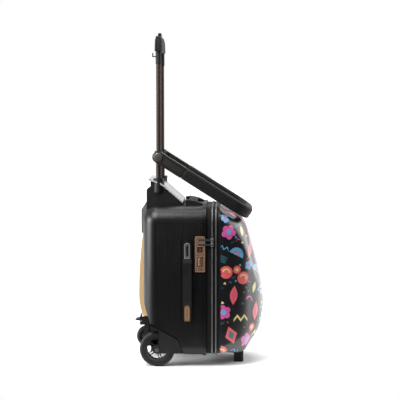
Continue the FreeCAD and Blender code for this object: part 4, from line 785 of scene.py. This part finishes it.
class ShellSkin:
    """Finds points on the outside of the front shell."""

    # What a motif's middle and its edges keep clear of the shell's mouth
    MIDDLE_CLEAR, EDGE_CLEAR = 2.5 * MM, 1.5 * MM
    # Where a point's search starts off the shell, how far it goes, and how much the shell may turn away
    START, REACH, FACING = 0.05, 0.09, 0.2

    def __init__(self):
        self.tree = skin_of("front_shell")
        self.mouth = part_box("front_shell")[0].x

    def around(self, turn, height):
        """The point at a height and a turn about the mouth: -90 is the lock's side, 0 the front."""
        way = Vector((math.cos(math.radians(turn)), math.sin(math.radians(turn)), 0))
        axis = Vector((self.mouth, 0, height))
        hit, normal, _, _ = self.tree.ray_cast(axis + way, -way)
        return (hit, normal) if hit and hit.x > self.mouth + self.MIDDLE_CLEAR else (None, None)

    def press(self, spot, normal, lift):
        """A point moved along the normal onto the shell, or nothing off its edge."""
        hit, facing, _, _ = self.tree.ray_cast(spot + normal * self.START, -normal, self.REACH)
        if hit is None or hit.x < self.mouth + self.EDGE_CLEAR or facing.dot(normal) < self.FACING:
            return None
        return hit + facing * lift


def flat_shape(outline, cell, rounds=6):
    """A flat outline as triangles with edges no longer than a cell: vertices and faces."""
    build = bmesh.new()
    build.faces.new([build.verts.new((x * MM, y * MM, 0)) for x, y in outline])
    bmesh.ops.triangulate(build, faces=build.faces)
    for _ in range(rounds):
        long_edges = [e for e in build.edges if e.calc_length() > cell]
        if not long_edges:
            break
        bmesh.ops.subdivide_edges(build, edges=long_edges, cuts=1)
        bmesh.ops.triangulate(build, faces=[f for f in build.faces if len(f.verts) > 3])
    build.verts.index_update()
    result = [v.co.copy() for v in build.verts], [[v.index for v in f.verts] for f in build.faces]
    build.free()
    return result


class SUITCASE_OT_print(bpy.types.Operator):
    """Print loose shapes over the front shell"""

    bl_idname = "suitcase.print"
    bl_label = "Shell print"

    # Heights and turns that the print covers: -90 degrees is the lock's side, 0 the front
    LOW, RISE = 0.046, 0.425
    FIRST_TURN, SPAN = -88.0, 176.0
    # Shares that spread one try after another evenly over both, and the tilts that they get in degrees
    SPREAD = 0.754877666, 0.569840291
    TILT_STEP, TILT_SPAN = 47, 70
    # Size of the triangles that follow the shell's curve
    CELL = 5 * MM
    # Shapes from large to small with the tries for each
    TRIES = ((LARGE, 320), (MIDDLE, 700), (SMALL, 900))

    def execute(self, context):
        self.skin, self.sheet, self.laid = ShellSkin(), Mesher(), []
        for motifs, tries in self.TRIES:
            laid = 0
            for step in range(tries):
                turn = self.FIRST_TURN + self.SPAN * (step * self.SPREAD[0] % 1)
                height = self.LOW + self.RISE * (step * self.SPREAD[1] % 1)
                tilt = step * self.TILT_STEP % self.TILT_SPAN - self.TILT_SPAN / 2
                laid += self.lay(motifs[laid % len(motifs)], turn, height, tilt)
        mesh = self.sheet.mesh("shell_print", smooth=True)
        new_piece("shell_print", mesh, "case", "shell_print", *(f"ink_{ink}" for ink in PRINT_INKS))
        return {"FINISHED"}

    def lay(self, motif, turn, height, tilt):
        """Lay one motif on the shell where it is clear of the others, each ink a hair above the last."""
        gap = sizes().print_gap
        points = [point for outlines, _ in motif for outline in outlines for point in outline]
        reach = max(math.hypot(*point) for point in points) * MM
        spot, normal = self.skin.around(turn, height)
        if spot is None or any((spot - other).length < reach + size + gap for other, size in self.laid):
            return False
        self.laid.append((spot, reach))
        side = Vector((0, 0, 1)).cross(normal).normalized()
        up = normal.cross(side)
        spin = Matrix.Rotation(math.radians(tilt), 3, "Z")
        for layer, (outlines, ink) in enumerate(motif):
            lift = sizes().print_lift * (1 + layer)
            for outline in outlines:
                verts, faces = flat_shape(outline, self.CELL)
                flat = [spin @ vert for vert in verts]
                placed = [self.skin.press(spot + side * at.x + up * at.y, normal, lift) for at in flat]
                kept = [i for i, point in enumerate(placed) if point is not None]
                index = {old: new for new, old in enumerate(kept)}
                whole = [[index[i] for i in face] for face in faces if all(i in index for i in face)]
                self.sheet.add([placed[i] for i in kept], whole, finish=PRINT_INKS.index(ink))
        return True


# The safety bar's U, in metres from its pivot: end of the padding, reach, half width and outer bend
PAD_START, BAR_REACH, BAR_SIDE, BAR_BEND = 0.088, 0.3227, 0.095, 0.058
# Its slope at rest, in degrees
BAR_SLOPE = 32.2


def on_bar(side=0, along=0.0, face=0.0):
    """From the bar's own flat frame, or from an arm's outer face, to the bar's place at rest."""
    slope = Matrix.Rotation(math.radians(BAR_SLOPE), 4, "Y")
    pivot = Matrix.Translation(JOINTS["safety_bar"]["pos_m"]) @ slope
    return pivot @ on_side(side, along, face, 0) if side else pivot


class SUITCASE_OT_bar_pad(bpy.types.Operator):
    """Build the bar's foam padding"""

    bl_idname = "suitcase.bar_pad"
    bl_label = "Bar padding"

    AROUND = 64
    # Section drawn in at the last rings of each end, so that the sleeve closes softly
    DRAW_IN = (0.82, 0.93, 0.98)
    # Places of the rings after the first, from the end
    END_RINGS = (1.5 * MM, 3 * MM)
    # Power of the rounded section, and the moulded crease along each side
    SQUARE = 0.62
    CREASE_AT, CREASE_DEPTH, CREASE_WIDTH = 0.35, 0.10, 1.6 * MM

    def execute(self, context):
        size = sizes()
        half_width, half_height = size.pad_width / 2, size.pad_height / 2
        path = self.centre_line(PAD_START, BAR_REACH - half_width, BAR_SIDE, BAR_BEND - half_width)
        last = len(path) - 1
        loops = []
        for step, (spot, way) in enumerate(path):
            end = min(step, last - step)
            scale = self.DRAW_IN[end] if end < len(self.DRAW_IN) else 1.0
            across = Vector((-way.y, way.x, 0))
            loops.append([spot + self.section(turn, across, half_width * scale, half_height * scale)
                          for turn in range(self.AROUND)])
        sleeve = Mesher()
        sleeve.add(*stack(loops), on_bar())
        mesh = sleeve.mesh("bar_padding", smooth=True)
        build = bmesh.new()
        build.from_mesh(mesh)
        bmesh.ops.recalc_face_normals(build, faces=build.faces)
        build.to_mesh(mesh)
        build.free()
        pad = new_piece("bar_padding", mesh, "safety_bar", "pad_black", "eva_foam_skin")
        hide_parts("bar_pad")
        return {"FINISHED"}

    def section(self, turn, across, half_width, half_height):
        """A point of the sleeve's section: a soft rectangle with a crease along each side."""
        angle = 2 * math.pi * turn / self.AROUND
        c, s = math.cos(angle), math.sin(angle)
        wide = math.copysign(abs(c) ** self.SQUARE, c) * half_width
        tall = math.copysign(abs(s) ** self.SQUARE, s) * half_height
        off = (abs(tall) - half_height * self.CREASE_AT) / self.CREASE_WIDTH
        return across * wide * (1.0 - self.CREASE_DEPTH * math.exp(-off ** 2)) + Vector((0, 0, tall))

    def centre_line(self, start, front, side, bend):
        """Points and directions along the U, from the right arm round to the left."""
        straight, corner, cross = 22, 12, 6
        arm = [start + (front - bend - start) * i / straight for i in range(straight + 1)]
        ahead = Vector((1, 0, 0))
        rings = [start + ring for ring in self.END_RINGS]
        path = [(Vector((x, -side, 0)), ahead) for x in sorted(arm + rings)]
        for i in range(1, corner + 1):
            angle = math.radians(90 * i / corner)
            spot = Vector((front - bend + bend * math.sin(angle), -side + bend - bend * math.cos(angle), 0))
            path.append((spot, Vector((math.cos(angle), math.sin(angle), 0))))
        reach = side - bend
        inward = Vector((0, 1, 0))
        path += [(Vector((front, -reach + reach * i / cross, 0)), inward) for i in range(1, cross + 1)]
        other = [(Vector((p.x, -p.y, 0)), Vector((-w.x, w.y, 0))) for p, w in reversed(path[:-1])]
        return path + other


class SUITCASE_OT_trim(bpy.types.Operator):
    """Add the inlays, borders and ridges of the bar's arms, side plates, lock and grip"""

    bl_idname = "suitcase.trim"
    bl_label = "Trim"

    # Insert of an arm, in millimetres, its place from the pivot, and the cap over the pivot
    INSERT = {"width": 57, "height": 15, "radius": 4, "rise": 0.8, "edge": 0.5}
    INSERT_AT = 51 * MM
    PIVOT_CAP = {"radius": 13.5, "rise": 3.2}
    # Panel of the side handle's end plates, and the border on it
    PANEL = {"width": 12.5, "height": 40, "radius": 6, "rise": 0.2, "edge": 0.1}
    PANEL_BORDER = {"width": 9.5, "height": 34, "radius": 4.7, "band": 0.9, "rise": 0.5}
    # Lock: border of the plate, bright and dark borders of its windows, and the keyhole above its foot; the bright
    # borders carry painted highlight and the dark ones painted shade
    LOCK_BORDER = {"radius": 3, "band": 1.0, "rise": 0.4}
    BRIGHT = {"radius": 3, "band": 1.0, "rise": 0.6}
    DARK = {"radius": 2, "rise": 0.3}
    DARK_INSET = 2
    KEYHOLE_ABOVE = 66 * MM
    # Width and height of each window, and width of its dark border
    WINDOWS = {"dials": (22, 33, 2.8), "keyhole": (20, 20, 5.5), "button": (14, 13, 1.4)}
    # Ridges of the grip: offset from its middle and top of each, and foot of all, above its lower edge
    RIDGES = ((-6, 30), (-2, 36), (2, 36), (6, 30))
    RIDGE_FOOT = 4
    RIDGE = {"width": 2.0, "radius": 1.0, "rise": 0.7, "edge": 0.4}

    def execute(self, context):
        self.arm_inserts()
        self.plate_inlays()
        self.lock_borders()
        self.grip_ridges()
        return {"FINISHED"}

    def arm_inserts(self):
        """A domed cap over each pivot of the bar, and a grey insert beside it; their grey, lighter than the arm,
        is painted highlight.
        """
        inserts, caps = Mesher(), Mesher()
        for side, node in ((-1, "bar_arm_right"), (1, "bar_arm_left")):
            low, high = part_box(node)
            face = low.y if side < 0 else high.y
            inserts.add(*slab(**self.INSERT), on_bar(side, self.INSERT_AT, face))
            caps.add(*dome(**self.PIVOT_CAP), on_bar(side, 0, face))
        # Caps and inserts lighter than the arms: painted highlight
        new_piece("bar_arm_inserts", inserts.mesh("bar_arm_inserts"), "safety_bar", "gloss_black",
                  "graphite_abs")
        new_piece("bar_pivot_caps", caps.mesh("bar_pivot_caps", smooth=True), "safety_bar", "trim_black",
                  "charcoal_abs")

    def plate_inlays(self):
        """Panels on the end plates of the side handle, each with a thin border on it."""
        finishes = ("moulded_nylon_trim", "brushed_steel", "rose_gold_zinc", "gold_painted_steel")
        panels = Mesher()
        for node, panel, edge in (("side_cap_upper", 0, 1), ("side_cap_lower", 2, 3)):
            low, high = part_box(node)
            place = on_side(-1, (low.x + high.x) / 2, low.y, (low.z + high.z) / 2)
            panels.add(*slab(**self.PANEL), place, panel)
            panels.add(*border(**self.PANEL_BORDER), place, edge)
        mesh = panels.mesh("side_plate_inlays")
        new_piece("side_plate_inlays", mesh, "side_handle_grip", "silver", *finishes)

    def lock_borders(self):
        """Raised borders round the lock's dials, keyhole and button: the lighter ones are painted highlight, the
        darker ones painted shade.
        """
        low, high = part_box("lock_body")
        x = (low.x + high.x) / 2
        button_low, button_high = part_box("lock_button")
        middles = {"dials": JOINTS["lock_dial_2"]["pos_m"][2], "keyhole": low.z + self.KEYHOLE_ABOVE,
                   "button": (button_low.z + button_high.z) / 2}
        borders = Mesher()
        # Lighter border round the plate: painted highlight
        plate = border((high.x - low.x) / MM, (high.z - low.z) / MM, **self.LOCK_BORDER)
        borders.add(*plate, on_side(-1, x, low.y, (low.z + high.z) / 2))
        for window, (width, height, band) in self.WINDOWS.items():
            place = on_side(-1, x, low.y, middles[window])
            # Lighter border round each window: painted highlight; the dark one inside it: painted shade of the
            # recess
            borders.add(*border(width, height, **self.BRIGHT), place)
            dark = border(width - self.DARK_INSET, height - self.DARK_INSET, band=band, **self.DARK)
            borders.add(*dark, place, 1)
        mesh = borders.mesh("lock_borders")
        new_piece("lock_borders", mesh, "case", "rose_gold", "bright_rose_gold", "oiled_bronze")

    def grip_ridges(self):
        """Upright ridges moulded on both ends of the grip."""
        low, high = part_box("grip_body")
        middle = (low.x + high.x) / 2
        ridges = Mesher()
        for side, face in ((-1, low.y), (1, high.y)):
            for offset, top in self.RIDGES:
                up = low.z + (self.RIDGE_FOOT + top) / 2 * MM
                ridge = slab(height=top - self.RIDGE_FOOT, **self.RIDGE)
                ridges.add(*ridge, on_side(side, middle + offset * MM, face, up))
        new_piece("grip_ridges", ridges.mesh("grip_ridges"), "handle", "grip_black", "soft_touch_grip")


class SUITCASE_OT_screws(bpy.types.Operator):
    """Drive the screws of the back frame and of the top handle's caps"""

    bl_idname = "suitcase.screws"
    bl_label = "Screws"

    # Screws of the back frame: sideways from the middle and above its lower edge
    FRAME_SIDE, FRAME_ABOVE = 0.062, (0.014, 0.052)
    # Screws of the top handle's caps: sideways from the middle and back from the origin
    CAP_SIDES, CAP_BACK = (0.0610, 0.0785), 0.030
    # Shares of a head's radius: its top, depth, lift off the seat, rim round the recess, and recess
    TOP, DEPTH, LIFT, RIM, RECESS = 0.78, 0.45, 0.20, 0.18, 0.30

    def execute(self, context):
        seats = []
        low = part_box("back_frame")[0]
        for y in (-self.FRAME_SIDE, self.FRAME_SIDE):
            seats += [self.seat("back_frame", (-1, y, low.z + up), (1, 0, 0)) for up in self.FRAME_ABOVE]
        for y in self.CAP_SIDES:
            seats += [self.seat("top_handle_caps", (-self.CAP_BACK, side * y, 1), (0, 0, -1))
                      for side in (-1, 1)]
        points = bpy.data.meshes.new("screw_seats")
        points.from_pydata([tuple(spot) for spot, _ in seats], [], [])
        facing = points.attributes.new("facing", "FLOAT_VECTOR", "POINT")
        facing.data.foreach_set("vector", [c for _, way in seats for c in way])
        template = bpy.data.objects.new("screw_template", self.head())
        bpy.context.scene.collection.objects.link(template)
        mesh = grow("case_screws", screw_tree(), points, Template=template,
                    Finish=MATERIALS["black_oxide_steel"])
        bpy.data.objects.remove(template)
        new_piece("case_screws", mesh, "case", "silver")
        return {"FINISHED"}

    def seat(self, node, start, way):
        """Where a screw meets a part, and the way that its head faces."""
        hit, normal, _, _ = skin_of(node).ray_cast(Vector(start), Vector(way))
        if hit is None:
            raise RuntimeError(f"no seat for a screw on {node}")
        return hit, normal

    def head(self):
        """A pan head with a recess in it."""
        radius = sizes().screw_radius
        build = bmesh.new()
        bmesh.ops.create_cone(build, cap_ends=True, segments=16, radius1=radius, radius2=radius * self.TOP,
                              depth=radius * self.DEPTH,
                              matrix=Matrix.Translation((0, 0, radius * self.LIFT)))
        top = max(build.faces, key=lambda f: f.calc_center_median().z)
        bmesh.ops.inset_region(build, faces=[top], thickness=radius * self.RIM)
        middle = bmesh.ops.poke(build, faces=[top])["verts"][0]
        middle.co.z -= radius * self.RECESS
        mesh = bpy.data.meshes.new("screw_head")
        build.to_mesh(mesh)
        build.free()
        return mesh


class SUITCASE_OT_dials(bpy.types.Operator):
    """Number the lock's dials"""

    bl_idname = "suitcase.dials"
    bl_label = "Lock dials"

    # Numbers on a dial, how many they move on from dial to dial, and half their thickness
    DIGITS, MOVE_ON, HALF_THICK = 10, 3, 0.12 * MM

    def execute(self, context):
        for number in (1, 2, 3):
            name = f"lock_dial_{number}"
            low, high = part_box(name)
            middle = (low + high) / 2
            radius = (high.x - low.x) / 2
            ring = Mesher()
            for digit in range(self.DIGITS):
                angle = math.radians(-90 + 360 / self.DIGITS * (digit - number * self.MOVE_ON))
                shape = self.digit(str(digit))
                stand = Matrix.Rotation(angle + math.pi / 2, 4, "Z") @ Matrix.Rotation(math.pi / 2, 4, "X")
                place = Matrix.Translation(middle + Vector((math.cos(angle), math.sin(angle), 0)) * radius)
                ring.add(*plain(shape), place @ stand)
            new_piece(f"dial_numbers_{number}", ring.mesh(f"dial_numbers_{number}"), name, "rose_gold",
                      "number_paint")
        return {"FINISHED"}

    def digit(self, text):
        """A number as a thin solid."""
        curve = bpy.data.curves.new("digit", "FONT")
        curve.body = text
        curve.size = sizes().digit_height
        curve.align_x, curve.align_y = "CENTER", "CENTER"
        curve.extrude = self.HALF_THICK
        curve.resolution_u = 3
        holder = bpy.data.objects.new("digit_holder", curve)
        bpy.context.scene.collection.objects.link(holder)
        return evaluated(holder, "digit")


class SUITCASE_OT_stage(bpy.types.Operator):
    """Set the floor, the light and the camera"""

    bl_idname = "suitcase.stage"
    bl_label = "Stage"

    # Softboxes: place, target, size in metres and power in watts
    LIGHTS = {
        "key_light": ((-0.6, -0.8, 1.45), (-0.05, -0.1, 0.40), 0.8, 27),
        "rear_light": ((-2.3, -0.8, 0.7), (-0.1, 0.0, 0.30), 1.2, 74),
        "front_light": ((2.1, 0.6, 1.1), (0.1, 0.0, 0.30), 2.2, 42),
        "top_light": ((0.0, 0.3, 3.0), (0.0, 0.0, 0.4), 2.0, 70),
    }
    # The floor stops short on the camera's side and glows far from the case, to run into the white backdrop
    FLOOR_EDGE, FLOOR_FAR = -0.32, 9.0
    GLOW_FROM, GLOW_TO, GLOW = 0.45, 3.0, 1.0
    # The studio's strength on the camera's side and behind the case, and half the width of the change
    DIM, BRIGHT, CHANGE = 0.06, 0.75, 0.5
    # Camera: distance, turn and pitch in degrees, height and sideways shift
    AWAY, TURN, PITCH, HEIGHT, ASIDE = 3.3, 2.0, 4.658, 0.755, 0.002
    # Its lens and sensor in millimetres
    LENS, SENSOR = 98.1, 36.0

    def execute(self, context):
        self.floor()
        self.studio()
        for name, values in self.LIGHTS.items():
            self.softbox(name, *values)
        self.camera()
        return {"FINISHED"}

    def floor(self):
        """A sheet of matt white paper: takes a soft shadow, with hardly any mirror in it."""
        tree, shader = new_material("matt_white_paper", linear("f3f3f3"), Roughness=0.7,
                                    Specular_IOR_Level=0.1)
        where = add(tree, "ShaderNodeTexCoord")
        away = add(tree, "ShaderNodeVectorMath", {0: where.outputs["Object"]}, operation="LENGTH")
        glow = add(tree, "ShaderNodeMapRange", {"Value": away.outputs["Value"], "From Min": self.GLOW_FROM,
                                                "From Max": self.GLOW_TO, "To Min": 0.0, "To Max": self.GLOW})
        shader.inputs["Emission Color"].default_value = linear("ffffff")
        tree.links.new(glow.outputs["Result"], shader.inputs["Emission Strength"])
        plane = Mesher()
        far, near = self.FLOOR_FAR, self.FLOOR_EDGE
        plane.add([(-far, near, 0), (far, near, 0), (far, far, 0), (-far, far, 0)], [(0, 1, 2, 3)])
        mesh = plane.mesh("studio_floor")
        mesh.materials.append(MATERIALS["matt_white_paper"])
        floor = bpy.data.objects.new("studio_floor", mesh)
        bpy.context.scene.collection.objects.link(floor)

    def studio(self):
        """A white backdrop, in a studio that lights the case more from behind than from the camera's side."""
        world = bpy.data.worlds.new("studio")
        bpy.context.scene.world = world
        world.use_nodes = True
        tree = world.node_tree
        tree.nodes.clear()
        where = add(tree, "ShaderNodeTexCoord")
        parts = add(tree, "ShaderNodeSeparateXYZ", {"Vector": where.outputs["Generated"]})
        side = add(tree, "ShaderNodeMapRange", {"Value": parts.outputs["Y"], "From Min": -self.CHANGE,
                                                "From Max": self.CHANGE, "To Min": self.DIM,
                                                "To Max": self.BRIGHT})
        white = linear("ffffff")
        lit = add(tree, "ShaderNodeBackground", {"Color": white, "Strength": side.outputs["Result"]})
        backdrop = add(tree, "ShaderNodeBackground", {"Color": white, "Strength": 1.0})
        path = add(tree, "ShaderNodeLightPath")
        both = add(tree, "ShaderNodeMixShader", {0: path.outputs["Is Camera Ray"],
                                                 1: lit.outputs["Background"],
                                                 2: backdrop.outputs["Background"]})
        add(tree, "ShaderNodeOutputWorld", {"Surface": both.outputs["Shader"]})
        bpy.context.scene.view_settings.view_transform = "Standard"

    def softbox(self, name, place, target, size, watts):
        """A square area light that points at its target."""
        light = bpy.data.lights.new(name, "AREA")
        light.shape = "SQUARE"
        light.size = size
        light.energy = watts
        lamp = bpy.data.objects.new(name, light)
        lamp.location = place
        lamp.rotation_euler = (Vector(target) - Vector(place)).to_track_quat("-Z", "Y").to_euler()
        bpy.context.scene.collection.objects.link(lamp)

    def camera(self):
        """The photograph's view: from the lock's side, a little towards the front and a little from above."""
        turn = math.radians(self.TURN)
        data = bpy.data.cameras.new("photo_camera")
        data.sensor_width = self.SENSOR
        data.lens = self.LENS
        camera = bpy.data.objects.new("photo_camera", data)
        camera.location = (self.AWAY * math.sin(turn) + self.ASIDE, -self.AWAY * math.cos(turn), self.HEIGHT)
        camera.rotation_euler = (math.pi / 2 - math.radians(self.PITCH), 0.0, turn)
        bpy.context.scene.collection.objects.link(camera)
        bpy.context.scene.camera = camera


class SUITCASE_PT_panel(bpy.types.Panel):
    """Lists the pieces that dress the suitcase"""

    bl_idname = "SUITCASE_PT_panel"
    bl_label = "Ride on suitcase"
    bl_space_type = "VIEW_3D"
    bl_region_type = "UI"
    bl_category = "Suitcase"

    def draw(self, context):
        for operator in STEPS:
            self.layout.operator(operator.bl_idname)
        for group in (context.scene.suitcase_sizes, context.scene.suitcase_colours):
            for key in group.__annotations__:
                self.layout.prop(group, key)


STEPS = (SUITCASE_OT_finishes, SUITCASE_OT_ribs, SUITCASE_OT_zip, SUITCASE_OT_print, SUITCASE_OT_bar_pad,
         SUITCASE_OT_trim, SUITCASE_OT_screws, SUITCASE_OT_dials, SUITCASE_OT_stage)
CLASSES = (SuitcaseSizes, SuitcaseColours) + STEPS + (SUITCASE_PT_panel,)


def register():
    for cls in CLASSES:
        bpy.utils.register_class(cls)
    bpy.types.Scene.suitcase_sizes = bpy.props.PointerProperty(type=SuitcaseSizes)
    bpy.types.Scene.suitcase_colours = bpy.props.PointerProperty(type=SuitcaseColours)


def unregister():
    del bpy.types.Scene.suitcase_colours
    del bpy.types.Scene.suitcase_sizes
    for cls in reversed(CLASSES):
        bpy.utils.unregister_class(cls)


def main():
    register()
    bpy.ops.suitcase.finishes()
    bpy.ops.suitcase.ribs()
    bpy.ops.suitcase.zip()
    bpy.ops.suitcase.print()
    bpy.ops.suitcase.bar_pad()
    bpy.ops.suitcase.trim()
    bpy.ops.suitcase.screws()
    bpy.ops.suitcase.dials()
    bpy.ops.suitcase.stage()


if __name__ == "__main__":
    main()
